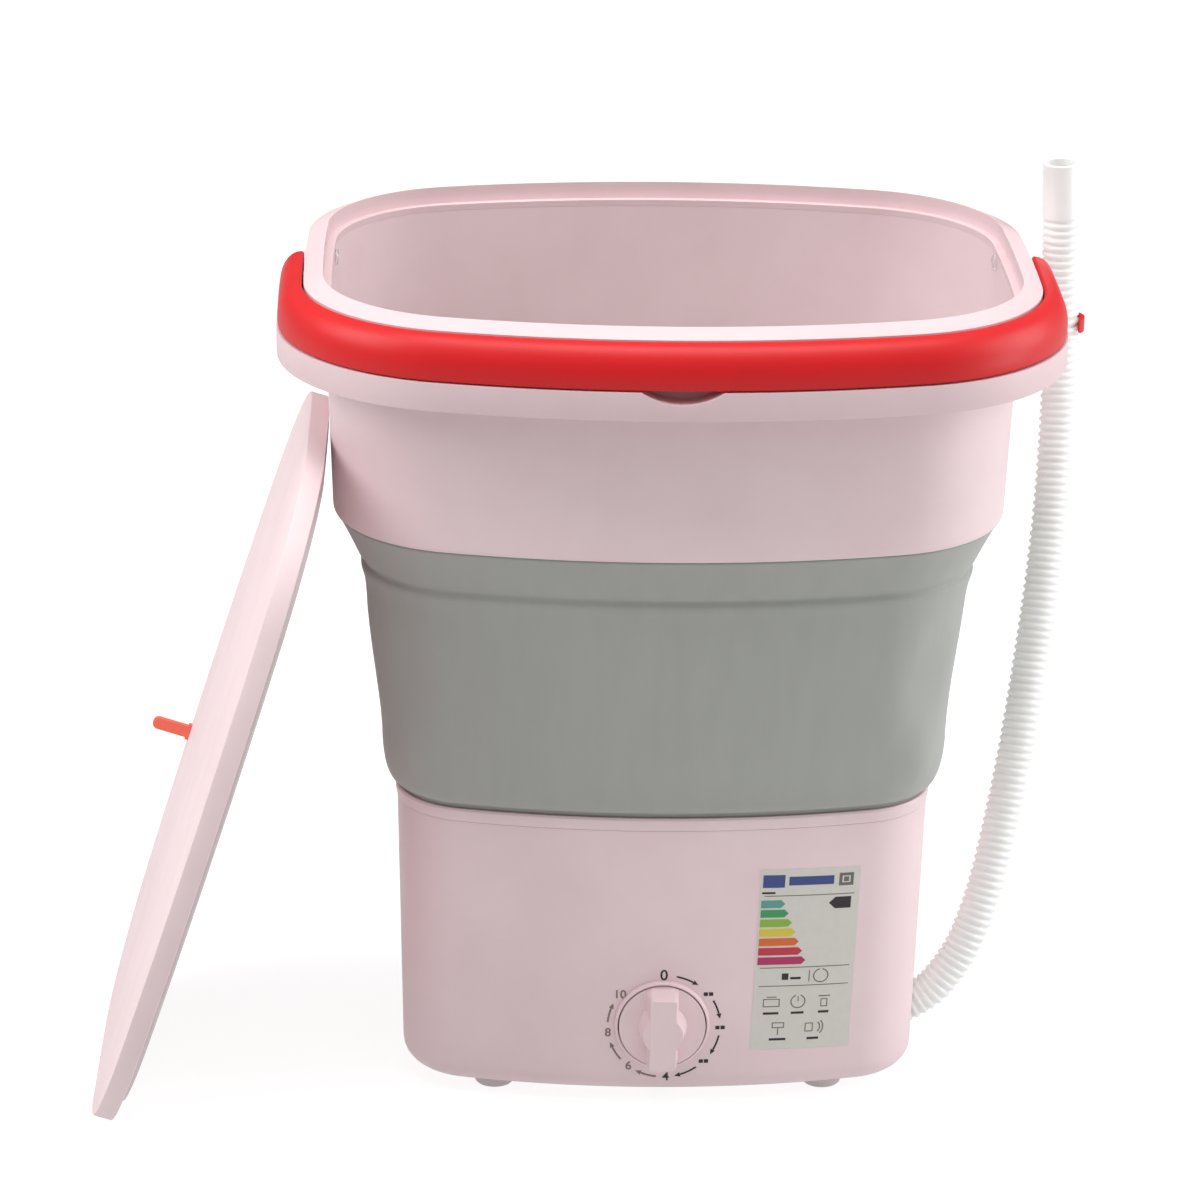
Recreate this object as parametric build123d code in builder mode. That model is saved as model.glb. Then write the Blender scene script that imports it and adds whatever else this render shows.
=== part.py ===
from build123d import *
import os
from math import atan2, cos, degrees, hypot, pi, radians, sin, sqrt, tan

# A small folding washing machine: a pink base with motor and timer, a soft grey bellows, and a
# pink upper wall with rim, handle and lid. Millimetres. The origin is on the floor, on the tub's
# upright axis. +X is to the right of someone who faces the knob, +Y is towards the back.

# Outline of the tub at its widest, round the rim flange. Every level is a parallel inset of it.
rim_half_width = 195.0
rim_half_depth = 155.0
side_radius = 1700.0          # left and right sides, almost flat
front_radius = 505.0          # bowed front and back
corner_radius = 100.0

# Heights, each measured from the level below it
foot_height = 5.7
base_height = 147.8
collar_height = 7.0
bellows_height = 146.5
shell_height = 80.5
flange_height = 14.0
ledge_rise = 22.4             # from the flange's top to the ledge's outer edge
crest_rise = 3.5              # from there to the crest

# Insets from the rim flange
rail_inset = 13.4             # wall behind the handle
crest_inset = 22.4
recess_inset = 22.9           # lid recess inside the crest
shell_top_inset = 24.5
shell_low_inset = 27.3
shell_edge_inset = 28.8
base_top_inset = 59.4
base_foot_inset = 62.9

# Walls and fits
shell_wall = 2.4
base_wall = 2.5
rubber_wall = 2.5
seat_gap = 0.1                # between parts fixed face to face
running_gap = 0.05            # radial, shaft in bore
swing_gap = 0.6               # between the handle and the rim

# Levels worked out from the heights
base_top = foot_height + base_height
collar_top = base_top + collar_height
shell_low = collar_top + bellows_height
flange_low = shell_low + shell_height
flange_top = flange_low + flange_height
ledge_height = flange_top + ledge_rise
crest_height = ledge_height + crest_rise

# Centres of the outline's arcs: two sides, two fronts and four corners, all tangent
side_x = rim_half_width - side_radius
front_y = rim_half_depth - front_radius
to_side = side_radius - corner_radius
to_front = front_radius - corner_radius
between = hypot(side_x, front_y)
along = (to_side**2 - to_front**2 + between**2) / (2 * between)
across = sqrt(to_side**2 - along**2)
corner_x = side_x - along * side_x / between - across * front_y / between
corner_y = along * front_y / between - across * side_x / between
side_turn = degrees(atan2(corner_y, corner_x - side_x))
front_turn = degrees(atan2(corner_y - front_y, corner_x))

CENTRED_ON_END = (Align.CENTER, Align.CENTER, Align.MIN)


def section(height, inset, base=Plane.XY):
    """The outline at a height over a plane, drawn in by inset all round, as eight tangent arcs."""
    with BuildSketch(base.offset(height)) as plan:
        with BuildLine():
            for way in (1, -1):
                turned = 0 if way > 0 else 180
                CenterArc((way * side_x, 0), side_radius - inset, turned - side_turn, 2 * side_turn)
                CenterArc((0, way * front_y), front_radius - inset, turned + front_turn, 180 - 2 * front_turn)
                CenterArc((way * corner_x, way * corner_y), corner_radius - inset, turned + side_turn,
                          front_turn - side_turn)
                CenterArc((-way * corner_x, way * corner_y), corner_radius - inset, turned + 180 - front_turn,
                          front_turn - side_turn)
        make_face()
    return plan.sketch


def stack(levels, mode=Mode.ADD, base=Plane.XY):
    """A solid through levels of (height, inset), straight from each level to the next."""
    loft([section(height, inset, base) for height, inset in levels], ruled=True, mode=mode)


def rolled(low, high, start, end, steps, outward):
    """Levels along a quarter ellipse from (low, start) to (high, end), bulging out or in."""
    levels = []
    for step in range(steps + 1):
        turn = radians(90 * step / steps)
        if outward:
            levels.append((low + (high - low) * sin(turn), end + (start - end) * cos(turn)))
        else:
            levels.append((low + (high - low) * (1 - cos(turn)), start + (end - start) * sin(turn)))
    return levels


def offset_inwards(levels, depth):
    """Levels a wall's depth further in, square to the wall, that only ever rise."""
    inner = []
    for place, (height, inset) in enumerate(levels):
        below, above = levels[max(place - 1, 0)], levels[min(place + 1, len(levels) - 1)]
        rise, lean = above[0] - below[0], above[1] - below[1]
        reach = hypot(rise, lean)
        moved = (height - depth * lean / reach, inset + depth * rise / reach)
        if not inner or moved[0] > inner[-1][0] + 0.2:
            inner.append(moved)
    return inner


def upright(places, low, high, radius, mode=Mode.ADD):
    """Upright cylinders at places (x, y), from one height to another."""
    with Locations(*[(x, y, low) for x, y in places]):
        Cylinder(radius, high - low, align=CENTRED_ON_END, mode=mode)


def lengthwise(places, front, back, radius, mode=Mode.ADD):
    """Cylinders along Y at places (x, z), from front to back."""
    with Locations(*[(x, front, z) for x, z in places]):
        Cylinder(radius, back - front, rotation=(-90, 0, 0), align=CENTRED_ON_END, mode=mode)


def sideways(places, near, far, radius, mode=Mode.ADD):
    """Cylinders along X at places (y, z), one each side, from near to far from the middle."""
    for y, z in places:
        with Locations((near, y, z)):
            Cylinder(radius, far - near, rotation=(0, 90, 0), align=CENTRED_ON_END, mode=mode)
        with Locations((-near, y, z)):
            Cylinder(radius, far - near, rotation=(0, -90, 0), align=CENTRED_ON_END, mode=mode)


def wall_x(inset, y):
    """Distance of a side wall from the middle, at a y on the side itself."""
    return side_x + sqrt((side_radius - inset)**2 - y**2)


def wall_y(inset, x):
    """Distance of the front or back wall from the middle."""
    return front_y + sqrt((front_radius - inset)**2 - x**2)


def base_inset(height):
    """Inset of the base's outer face at a height."""
    return base_foot_inset + (base_top_inset - base_foot_inset) * (height - foot_height) / base_height


os.makedirs("parts", exist_ok=True)

# Sizes of the base's underside
base_roll = 12.0              # rounding of the base's lower edge
roll_top = foot_height + base_roll
roll_inset = base_inset(roll_top)
cover_thickness = 2.1
cover_inset = roll_inset + base_roll + 1.0
cover_top = foot_height + cover_thickness
cover_seat = cover_top + seat_gap
lip_top = cover_seat + base_wall
lip_inset = cover_inset + 4.4
hollow_inset = lip_inset - 9.0
foot_x = 84.6
foot_y = 62.5
foot_radius = 10.0
foot_stem_radius = 3.0
feet_places = [(-foot_x, -foot_y), (foot_x, -foot_y), (-foot_x, foot_y), (foot_x, foot_y)]
cover_screw_x = 115.0
cover_screw_y = 75.0
cover_screw_radius = 1.2
cover_boss_radius = 4.0
cover_boss_height = 8.1
cover_screw_length = 9.0
cover_screw_places = [(-cover_screw_x, 0), (cover_screw_x, 0), (0, -cover_screw_y), (0, cover_screw_y)]

# Knob, timer and what holds it
knob_height = 46.5
knob_radius = 22.0
timer_shaft_radius = 3.0
timer_screw_x = 12.0
timer_screw_radius = 1.5
timer_screw_head = 2.8
timer_head_depth = 1.0
base_front = wall_y(base_inset(knob_height), timer_screw_x + timer_screw_head)
timer_head_y = -base_front + 0.15
timer_seat_y = timer_head_y + timer_head_depth
timer_front = -89.2
timer_width = 44.0
timer_depth = 30.0
timer_tall = 44.0
timer_screw_end = -82.0
timer_shaft_end = -70.0

# Inlet at the back
socket_x = -60.0
socket_height = 42.0
socket_width = 21.6
socket_tall = 13.6
socket_back = 64.0
socket_face = wall_y(base_inset(socket_height), socket_x) + 0.8
socket_flange_y = 82.0
pin_spread = 4.3
pin_radius = 1.1

# Control board
board_x = 50.0
board_height = 48.0
board_width = 64.0
board_tall = 46.0
board_thickness = 1.6
board_front = 75.0
post_spread = 26.0
post_radius = 4.0
post_start = board_front + board_thickness + seat_gap
post_hole_end = 83.0
board_screw_radius = 1.25
post_places = [(board_x - post_spread, board_height), (board_x + post_spread, board_height)]

# Drain: down from the tub floor, out through the right wall and up to the rim
drain_x = 88.0
drain_y = -36.0
hose_radius = 9.5
valley_radius = 8.5
hose_bore = 7.2
hose_hole_radius = hose_radius + 1.0
hose_hole_centre = (132.3, drain_y, 30.7)
hose_hole_rise = radians(30.7)
hose_route = [Vector(100.5, drain_y, 21.2), Vector(134.5, drain_y, 29.2), Vector(157.6, -31, 55.5),
              Vector(169.8, -23.2, 87.5), Vector(177.6, -12.6, 119.5), Vector(185.4, -1.5, 156.5),
              Vector(192.0, 11.4, 196), Vector(198.3, 25.6, 236.5), Vector(203.3, 39.9, 277),
              Vector(206.0, 52.5, 317.5), Vector(206.9, 60.6, 355.5), Vector(205.3, 63.2, 391.5),
              Vector(203.8, 62.9, 425), Vector(202.2, 62.0, 458.2)]
first_run = (hose_route[1] - hose_route[0]).normalized()

# Base casing, open at the bottom for the service cover
with BuildPart() as base_shell:
    stack(rolled(foot_height, roll_top, roll_inset + base_roll, roll_inset, 6, False)
          + [(base_top, base_top_inset)])
    stack(rolled(lip_top, roll_top, hollow_inset, roll_inset + base_wall, 5, False)
          + [(base_top + 1, base_top_inset + base_wall)], Mode.SUBTRACT)
    stack([(foot_height - 1, cover_inset - 0.4), (cover_seat, cover_inset - 0.4)], Mode.SUBTRACT)
    stack([(foot_height, lip_inset), (lip_top + 0.1, lip_inset)], Mode.SUBTRACT)
    upright(cover_screw_places, cover_seat, cover_seat + cover_boss_height, cover_boss_radius)
    upright(cover_screw_places, cover_seat - 1, cover_seat + cover_boss_height - 1,
            cover_screw_radius + seat_gap, Mode.SUBTRACT)
    lengthwise([(0, knob_height)], -100, -85, timer_shaft_radius + 1, Mode.SUBTRACT)
    timer_holes = [(-timer_screw_x, knob_height), (timer_screw_x, knob_height)]
    lengthwise(timer_holes, -100, -85, timer_screw_radius + seat_gap, Mode.SUBTRACT)
    lengthwise(timer_holes, -100, timer_seat_y + seat_gap, timer_screw_head + seat_gap, Mode.SUBTRACT)
    with Locations((socket_x, socket_face, socket_height)):
        Box(socket_width + 0.4, 20, socket_tall + 0.4, mode=Mode.SUBTRACT)
    for post_x, post_z in post_places:
        lengthwise([(post_x, post_z)], post_start, wall_y(base_inset(post_z) + base_wall / 2, post_x),
                   post_radius)
    lengthwise(post_places, post_start - 1, post_hole_end, board_screw_radius + seat_gap, Mode.SUBTRACT)
    with Locations(Plane(origin=hose_hole_centre, x_dir=(0, 1, 0),
                         z_dir=(cos(hose_hole_rise), 0, sin(hose_hole_rise))).location):
        Cylinder(hose_hole_radius, 24, mode=Mode.SUBTRACT)
base_shell.part.label = "base_shell"
export_step(base_shell.part, "parts/base_shell.step")

# Pink ring that closes the casing under the bellows
collar_inner = 60.2
with BuildPart() as base_collar:
    stack([(base_top + 0.2, 59.3), (base_top + 3.5, 58.6), (base_top + 6, 58.4), (collar_top, 59.0)])
    stack([(base_top, collar_inner), (collar_top + 1, collar_inner)], Mode.SUBTRACT)
base_collar.part.label = "base_collar"
export_step(base_collar.part, "parts/base_collar.step")

# Service cover under the motor
motor_x = -75.0
motor_y = 20.0
vent_width = 3.0
vent_pitch = 7.0
with BuildPart() as bottom_cover:
    stack([(foot_height, cover_inset), (cover_top, cover_inset)])
    upright(feet_places, 0, 10, foot_stem_radius + seat_gap, Mode.SUBTRACT)
    upright(cover_screw_places, 0, 10, cover_screw_radius + 0.3, Mode.SUBTRACT)
    with Locations((motor_x + 10, motor_y, cover_top)):
        with GridLocations(0, vent_pitch, 1, 7):
            Box(40, vent_width, 4 * cover_thickness, mode=Mode.SUBTRACT)
bottom_cover.part.label = "bottom_cover"
export_step(bottom_cover.part, "parts/bottom_cover.step")

# Rubber feet, pushed into the cover
with BuildPart() as feet:
    upright(feet_places, 0, foot_height - seat_gap, foot_radius)
    chamfer(feet.edges().filter_by_position(Axis.Z, -0.1, 0.1), 0.8)
    upright(feet_places, 1, cover_top + 1.8, foot_stem_radius)
feet.part.label = "feet"
export_step(feet.part, "parts/feet.step")

with BuildPart() as cover_screws:
    upright(cover_screw_places, foot_height - 1.8, foot_height - seat_gap, 3.0)
    upright(cover_screw_places, foot_height - 1, foot_height - seat_gap + cover_screw_length,
            cover_screw_radius)
cover_screws.part.label = "cover_screws"
export_step(cover_screws.part, "parts/cover_screws.step")

# Hard floor and wall of the tub inside the base
pan_low = 88.0
pan_floor = pan_low + 3.0
pan_round = 15.0
pan_outer = 64.4
pan_low_inset = 66.7
pan_rim = base_top + 2.0
hub_radius = 10.0
pipe_radius = 8.0
bracket_spread = 30.0
bracket_top = 76.0
bracket_boss_radius = 4.5
bracket_screw_radius = 1.6
bracket_screw_end = 84.0
bracket_places = [(motor_x - bracket_spread, motor_y - bracket_spread),
                  (motor_x + bracket_spread, motor_y - bracket_spread),
                  (motor_x - bracket_spread, motor_y + bracket_spread),
                  (motor_x + bracket_spread, motor_y + bracket_spread)]
with BuildPart() as tub_pan:
    stack(rolled(pan_low, pan_low + pan_round, pan_low_inset + pan_round, pan_low_inset, 5, False)
          + [(pan_rim, pan_outer)])
    stack([(base_top + seat_gap, collar_inner + seat_gap), (pan_rim, collar_inner + seat_gap)])
    upright(bracket_places, bracket_top + seat_gap, pan_low + 0.5, bracket_boss_radius)
    stack(rolled(pan_floor, pan_floor + pan_round - base_wall, pan_low_inset + pan_round,
                 pan_low_inset + base_wall, 5, False) + [(pan_rim + 1, pan_outer + base_wall)], Mode.SUBTRACT)
    upright([(0, 0)], pan_low - 1, pan_floor + 1, hub_radius + seat_gap, Mode.SUBTRACT)
    upright([(drain_x, drain_y)], pan_low - 1, pan_floor + 1, pipe_radius + seat_gap, Mode.SUBTRACT)
    upright(bracket_places, bracket_top, bracket_screw_end + 1, bracket_screw_radius + seat_gap, Mode.SUBTRACT)
tub_pan.part.label = "tub_pan"
export_step(tub_pan.part, "parts/tub_pan.step")

# Grate over the drain hole
grate_radius = 12.0
with BuildPart() as drain_grate:
    upright([(drain_x, drain_y)], pan_floor + seat_gap, pan_floor + seat_gap + 1.2, grate_radius)
    with Locations((drain_x, drain_y, pan_floor + 0.5)):
        with GridLocations(0, 3.8, 1, 5):
            Box(14, 2, 6, mode=Mode.SUBTRACT)
drain_grate.part.label = "drain_grate"
export_step(drain_grate.part, "parts/drain_grate.step")

pipe_low = 24.0
with BuildPart() as drain_pipe:
    upright([(drain_x, drain_y)], pipe_low, pan_floor - seat_gap, pipe_radius)
    upright([(drain_x, drain_y)], pipe_low - 1, pan_floor + 1, pipe_radius - 1.6, Mode.SUBTRACT)
drain_pipe.part.label = "drain_pipe"
export_step(drain_pipe.part, "parts/drain_pipe.step")

# Outlet: a cup round the pipe's lower end and a nipple that the hose is pushed over
cup_radius = 10.0
cup_low = 10.6
cup_top = 34.0
nipple_radius = hose_bore - seat_gap
nipple_reach = 12.0
nipple_flange_radius = 9.3
nipple_start = (hose_route[0].X - drain_x) / first_run.X
nipple_plane = Plane(origin=hose_route[0] - first_run * nipple_start, x_dir=(0, 1, 0), z_dir=first_run)
with BuildPart() as drain_spigot:
    upright([(drain_x, drain_y)], cup_low, cup_top, cup_radius)
    with Locations(nipple_plane.location):
        Cylinder(nipple_radius, nipple_start + nipple_reach, align=CENTRED_ON_END)
    with Locations(nipple_plane.offset(nipple_start - 2.1).location):
        Cylinder(nipple_flange_radius, 2.0, align=CENTRED_ON_END)
    upright([(drain_x, drain_y)], cup_low + 2.4, cup_top + 1, pipe_radius + seat_gap, Mode.SUBTRACT)
    with Locations(nipple_plane.location):
        Cylinder(nipple_radius - 1.9, nipple_start + nipple_reach + 1, align=CENTRED_ON_END,
                 mode=Mode.SUBTRACT)
drain_spigot.part.label = "drain_spigot"
export_step(drain_spigot.part, "parts/drain_spigot.step")

# Ribbed hose: smooth ends, and between them a rib every rib_pitch along the route
rib_pitch = 4.0
rib_flank = 0.6
rib_crest = 1.4
smooth_start = 12.0
cuff_length = 29.0
runs = [end - start for start, end in zip(hose_route, hose_route[1:])]
turn_radii = [0.45 * min(before.length, after.length) / tan(radians(before.get_angle(after)) / 2)
              for before, after in zip(runs, runs[1:])]


def hose_ring(wire, distance, radius):
    """A circle across the hose, with its X axis kept as near +Y as the route allows."""
    tangent = wire.tangent_at(distance, position_mode=PositionMode.LENGTH)
    across_y = Vector(0, 1, 0) - tangent * tangent.Y
    place = Plane(wire.position_at(distance, position_mode=PositionMode.LENGTH), x_dir=across_y, z_dir=tangent)
    with BuildSketch(place) as circle:
        Circle(radius)
    return circle.sketch


with BuildPart() as drain_hose:
    with BuildLine() as hose_line:
        FilletPolyline(*hose_route, radius=turn_radii)
    hose_wire = hose_line.wires()[0]
    hose_length = hose_wire.length
    ribs_start = smooth_start + rib_pitch - rib_crest - rib_flank
    rib_count = int((hose_length - cuff_length - ribs_start - rib_flank) / rib_pitch)
    rings = [(0, hose_radius), (smooth_start, hose_radius), (smooth_start + rib_flank, valley_radius)]
    for rib in range(rib_count):
        foot = ribs_start + rib_pitch * rib
        rings += [(foot, valley_radius), (foot + rib_flank, hose_radius),
                  (foot + rib_flank + rib_crest, hose_radius), (foot + 2 * rib_flank + rib_crest, valley_radius)]
    cuff_start = hose_length - cuff_length
    rings += [(cuff_start - rib_flank, valley_radius), (cuff_start, hose_radius)]
    rings += [(cuff_start + cuff_length * part / 4, hose_radius) for part in (1, 2, 3)]
    rings += [(hose_length, hose_radius)]
    loft([hose_ring(hose_wire, distance, radius) for distance, radius in rings], ruled=True)
    with BuildSketch(Plane(hose_wire @ 0, x_dir=(0, 1, 0), z_dir=hose_wire % 0)):
        Circle(hose_bore)
    sweep(path=hose_wire, mode=Mode.SUBTRACT)
drain_hose.part.label = "drain_hose"
export_step(drain_hose.part, "parts/drain_hose.step")
print("hose length", round(hose_length, 1), "ribs", rib_count, "turn radii", [round(r) for r in turn_radii])
print("hose volume", round(drain_hose.part.volume), "of", round(pi * (9.0**2 - hose_bore**2) * hose_length))

# Bearing of the pulsator shaft, through the tub floor
shaft_radius = 5.0
bearing_radius = 13.0
bearing_bore = 8.0
bearing_low = 52.0
bearing_top = pan_low - seat_gap
spigot_top = pan_floor + 1.5
with BuildPart() as bearing_housing:
    upright([(0, 0)], bearing_low, bearing_top, bearing_radius)
    upright([(0, 0)], bearing_top - 3, bearing_top, bearing_radius + 7)
    upright([(0, 0)], bearing_top - 1, spigot_top, hub_radius)
    upright([(0, 0)], bearing_low - 1, spigot_top + 1, bearing_bore, Mode.SUBTRACT)
bearing_housing.part.label = "bearing_housing"
export_step(bearing_housing.part, "parts/bearing_housing.step")

with BuildPart() as shaft_bushes:
    upright([(0, 0)], bearing_low + 1, bearing_low + 11, bearing_bore - running_gap)
    upright([(0, 0)], bearing_low + 22, bearing_low + 32, bearing_bore - running_gap)
    upright([(0, 0)], bearing_low, bearing_low + 40, shaft_radius + running_gap, Mode.SUBTRACT)
shaft_bushes.part.label = "shaft_bushes"
export_step(shaft_bushes.part, "parts/shaft_bushes.step")

with BuildPart() as shaft_seal:
    upright([(0, 0)], bearing_low + 34, spigot_top - 0.5, bearing_bore - running_gap)
    upright([(0, 0)], bearing_low + 33, spigot_top, shaft_radius + running_gap, Mode.SUBTRACT)
shaft_seal.part.label = "shaft_seal"
export_step(shaft_seal.part, "parts/shaft_seal.step")

# Motor beside it, hung from the tub floor
motor_radius = 26.0
motor_flange_radius = 30.0
motor_low = 48.0
motor_top = 86.0
motor_shaft_radius = 4.0
motor_shaft_top = 60.0
with BuildPart() as motor_housing:
    upright([(motor_x, motor_y)], motor_low, motor_top, motor_radius)
    upright([(motor_x, motor_y)], bracket_top + seat_gap, bracket_top + 2, motor_flange_radius)
    upright([(motor_x, motor_y)], motor_low - 1, motor_shaft_top + 2, motor_shaft_radius + running_gap,
            Mode.SUBTRACT)
motor_housing.part.label = "motor_housing"
export_step(motor_housing.part, "parts/motor_housing.step")

with BuildPart() as motor_bracket:
    with BuildSketch(Plane.XY.offset(bracket_top - 2)):
        with Locations((motor_x, motor_y)):
            RectangleRounded(70, 70, 8)
            Circle(motor_radius + seat_gap, mode=Mode.SUBTRACT)
        with Locations(*bracket_places):
            Circle(bracket_screw_radius + 0.2, mode=Mode.SUBTRACT)
    extrude(amount=2)
motor_bracket.part.label = "motor_bracket"
export_step(motor_bracket.part, "parts/motor_bracket.step")

with BuildPart() as bracket_screws:
    upright(bracket_places, bracket_top - 4, bracket_top - 2 - seat_gap, 3.2)
    upright(bracket_places, bracket_top - 3, bracket_screw_end, bracket_screw_radius)
bracket_screws.part.label = "bracket_screws"
export_step(bracket_screws.part, "parts/bracket_screws.step")

# Belt drive, four to one
drive_pitch_radius = 40.0
motor_pitch_radius = 10.0
belt_thickness = 2.0
belt_low = 37.5
belt_high = 42.5
pulley_low = 36.0
pulley_high = 44.0
groove_gap = 0.3
pulley_cheek = 1.5
with BuildPart() as drive_belt:
    with BuildSketch(Plane.XY.offset(belt_low)):
        Circle(drive_pitch_radius + belt_thickness / 2)
        with Locations((motor_x, motor_y)):
            Circle(motor_pitch_radius + belt_thickness / 2)
        make_hull()
    extrude(amount=belt_high - belt_low)
    with BuildSketch(Plane.XY.offset(belt_low)):
        Circle(drive_pitch_radius - belt_thickness / 2)
        with Locations((motor_x, motor_y)):
            Circle(motor_pitch_radius - belt_thickness / 2)
        make_hull()
    extrude(amount=belt_high - belt_low, mode=Mode.SUBTRACT)
drive_belt.part.label = "drive_belt"
export_step(drive_belt.part, "parts/drive_belt.step")

with BuildPart() as drive_pulley:
    upright([(0, 0)], pulley_low, pulley_high, drive_pitch_radius + pulley_cheek)
    with BuildSketch(Plane.XY.offset(belt_low - groove_gap)):
        Circle(drive_pitch_radius + 5)
        Circle(drive_pitch_radius - belt_thickness / 2 - groove_gap, mode=Mode.SUBTRACT)
    extrude(amount=belt_high - belt_low + 2 * groove_gap, mode=Mode.SUBTRACT)
    with Locations((0, 0, pulley_low)):
        with PolarLocations(24, 6):
            Cylinder(8, 30, mode=Mode.SUBTRACT)
    upright([(0, 0)], pulley_low - 1, pulley_high + 1, shaft_radius + seat_gap, Mode.SUBTRACT)
drive_pulley.part.label = "drive_pulley"
export_step(drive_pulley.part, "parts/drive_pulley.step")

with BuildPart() as motor_pulley:
    upright([(motor_x, motor_y)], pulley_low, pulley_high, motor_pitch_radius + pulley_cheek)
    with BuildSketch(Plane.XY.offset(belt_low - groove_gap)):
        with Locations((motor_x, motor_y)):
            Circle(motor_pitch_radius + 5)
            Circle(motor_pitch_radius - belt_thickness / 2 - groove_gap, mode=Mode.SUBTRACT)
    extrude(amount=belt_high - belt_low + 2 * groove_gap, mode=Mode.SUBTRACT)
    upright([(motor_x, motor_y)], pulley_low - 1, pulley_high + 1, motor_shaft_radius + seat_gap, Mode.SUBTRACT)
motor_pulley.part.label = "motor_pulley"
export_step(motor_pulley.part, "parts/motor_pulley.step")

with BuildPart() as motor_shaft:
    upright([(motor_x, motor_y)], pulley_low - 4, motor_shaft_top, motor_shaft_radius)
motor_shaft.part.label = "motor_shaft"
export_step(motor_shaft.part, "parts/motor_shaft.step")

# Pulsator: a low domed disc with four swept vanes, on the shaft
pulsator_low = pan_floor + 2.0
pulsator_radius = 68.0
pulsator_rim = 5.0
pulsator_dome = 104.0
vane_top = 116.0
shaft_low = 30.0
shaft_top = 108.0
hub_top = 112.0
with BuildPart() as pulsator:
    with BuildSketch(Plane.XZ):
        with BuildLine():
            Polyline((0, pulsator_low), (pulsator_radius, pulsator_low),
                     (pulsator_radius, pulsator_low + pulsator_rim - 1))
            Line((pulsator_radius, pulsator_low + pulsator_rim - 1), (pulsator_radius - 1, pulsator_low + pulsator_rim))
            Spline((pulsator_radius - 1, pulsator_low + pulsator_rim), (40, 101.2), (18, pulsator_dome),
                   (0, pulsator_dome))
            Line((0, pulsator_dome), (0, pulsator_low))
        make_face()
    revolve(axis=Axis.Z)
    upright([(0, 0)], pulsator_low, hub_top, 14)
    with BuildSketch(Plane.XY.offset(pulsator_low + 2)):
        with PolarLocations(0, 4):
            with Locations((36, 0)):
                SlotOverall(54, 9)
    extrude(amount=vane_top - pulsator_low - 2, taper=8)
    upright([(0, 0)], shaft_top + 0.2, vane_top + 1, 6.4, Mode.SUBTRACT)
    upright([(0, 0)], pulsator_low - 1, vane_top, shaft_radius + seat_gap, Mode.SUBTRACT)
pulsator.part.label = "pulsator"
export_step(pulsator.part, "parts/pulsator.step")

screw_radius = 2.0
screw_low = 92.0
with BuildPart() as pulsator_shaft:
    upright([(0, 0)], shaft_low, shaft_top, shaft_radius)
    upright([(0, 0)], screw_low - 1, shaft_top + 1, screw_radius + seat_gap, Mode.SUBTRACT)
pulsator_shaft.part.label = "pulsator_shaft"
export_step(pulsator_shaft.part, "parts/pulsator_shaft.step")

with BuildPart() as pulsator_screw:
    upright([(0, 0)], shaft_top + 0.3, shaft_top + 3.3, 6.2)
    upright([(0, 0)], screw_low, shaft_top + 1, screw_radius)
    with Locations((0, 0, shaft_top + 3.3)):
        Box(8, 1.4, 2, mode=Mode.SUBTRACT)
        Box(1.4, 8, 2, mode=Mode.SUBTRACT)
pulsator_screw.part.label = "pulsator_screw"
export_step(pulsator_screw.part, "parts/pulsator_screw.step")

# Timer behind the knob
with BuildPart() as timer_module:
    with Locations((0, timer_front, knob_height)):
        Box(timer_width, timer_depth, timer_tall, align=(Align.CENTER, Align.MIN, Align.CENTER))
    with Locations((0, timer_front + timer_depth, knob_height)):
        Box(24, 5, 9, align=(Align.CENTER, Align.MIN, Align.CENTER))
    lengthwise([(0, knob_height)], timer_front - 1, timer_shaft_end + 2, timer_shaft_radius + running_gap,
               Mode.SUBTRACT)
    lengthwise(timer_holes, timer_front - 1, timer_screw_end + 0.5, timer_screw_radius + seat_gap, Mode.SUBTRACT)
timer_module.part.label = "timer_module"
export_step(timer_module.part, "parts/timer_module.step")

with BuildPart() as timer_screws:
    lengthwise(timer_holes, timer_head_y, timer_seat_y, timer_screw_head)
    lengthwise(timer_holes, timer_head_y + 0.5, timer_screw_end, timer_screw_radius)
timer_screws.part.label = "timer_screws"
export_step(timer_screws.part, "parts/timer_screws.step")

# Knob: a disc with a raised grip bar, and its shaft
knob_back = -93.95
knob_disc = 3.2
grip_rise = 12.0
grip_width = 16.4
grip_middle = 12.5            # radius of its swollen middle
grip_tall = 42.4
shaft_front = -101.5
with BuildPart() as timer_knob:
    with BuildSketch(Plane.XZ.offset(-knob_back)):
        with Locations((0, knob_height)):
            Circle(knob_radius)
    extrude(amount=knob_disc)
    with BuildSketch(Plane.XZ.offset(-knob_back + knob_disc)):
        with Locations((0, knob_height)):
            RectangleRounded(grip_width, grip_tall, 3)
    extrude(amount=grip_rise, taper=8)
    with BuildSketch(Plane.XZ.offset(-knob_back + knob_disc)):
        with Locations((0, knob_height)):
            Circle(grip_middle)
    extrude(amount=grip_rise - 0.4, taper=12)
    lengthwise([(0, knob_height)], shaft_front - seat_gap, knob_back + 1, timer_shaft_radius + seat_gap,
               Mode.SUBTRACT)
timer_knob.part.label = "timer_knob"
export_step(timer_knob.part, "parts/timer_knob.step")

with BuildPart() as timer_shaft:
    lengthwise([(0, knob_height)], shaft_front, timer_shaft_end, timer_shaft_radius)
timer_shaft.part.label = "timer_shaft"
export_step(timer_shaft.part, "parts/timer_shaft.step")

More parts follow.
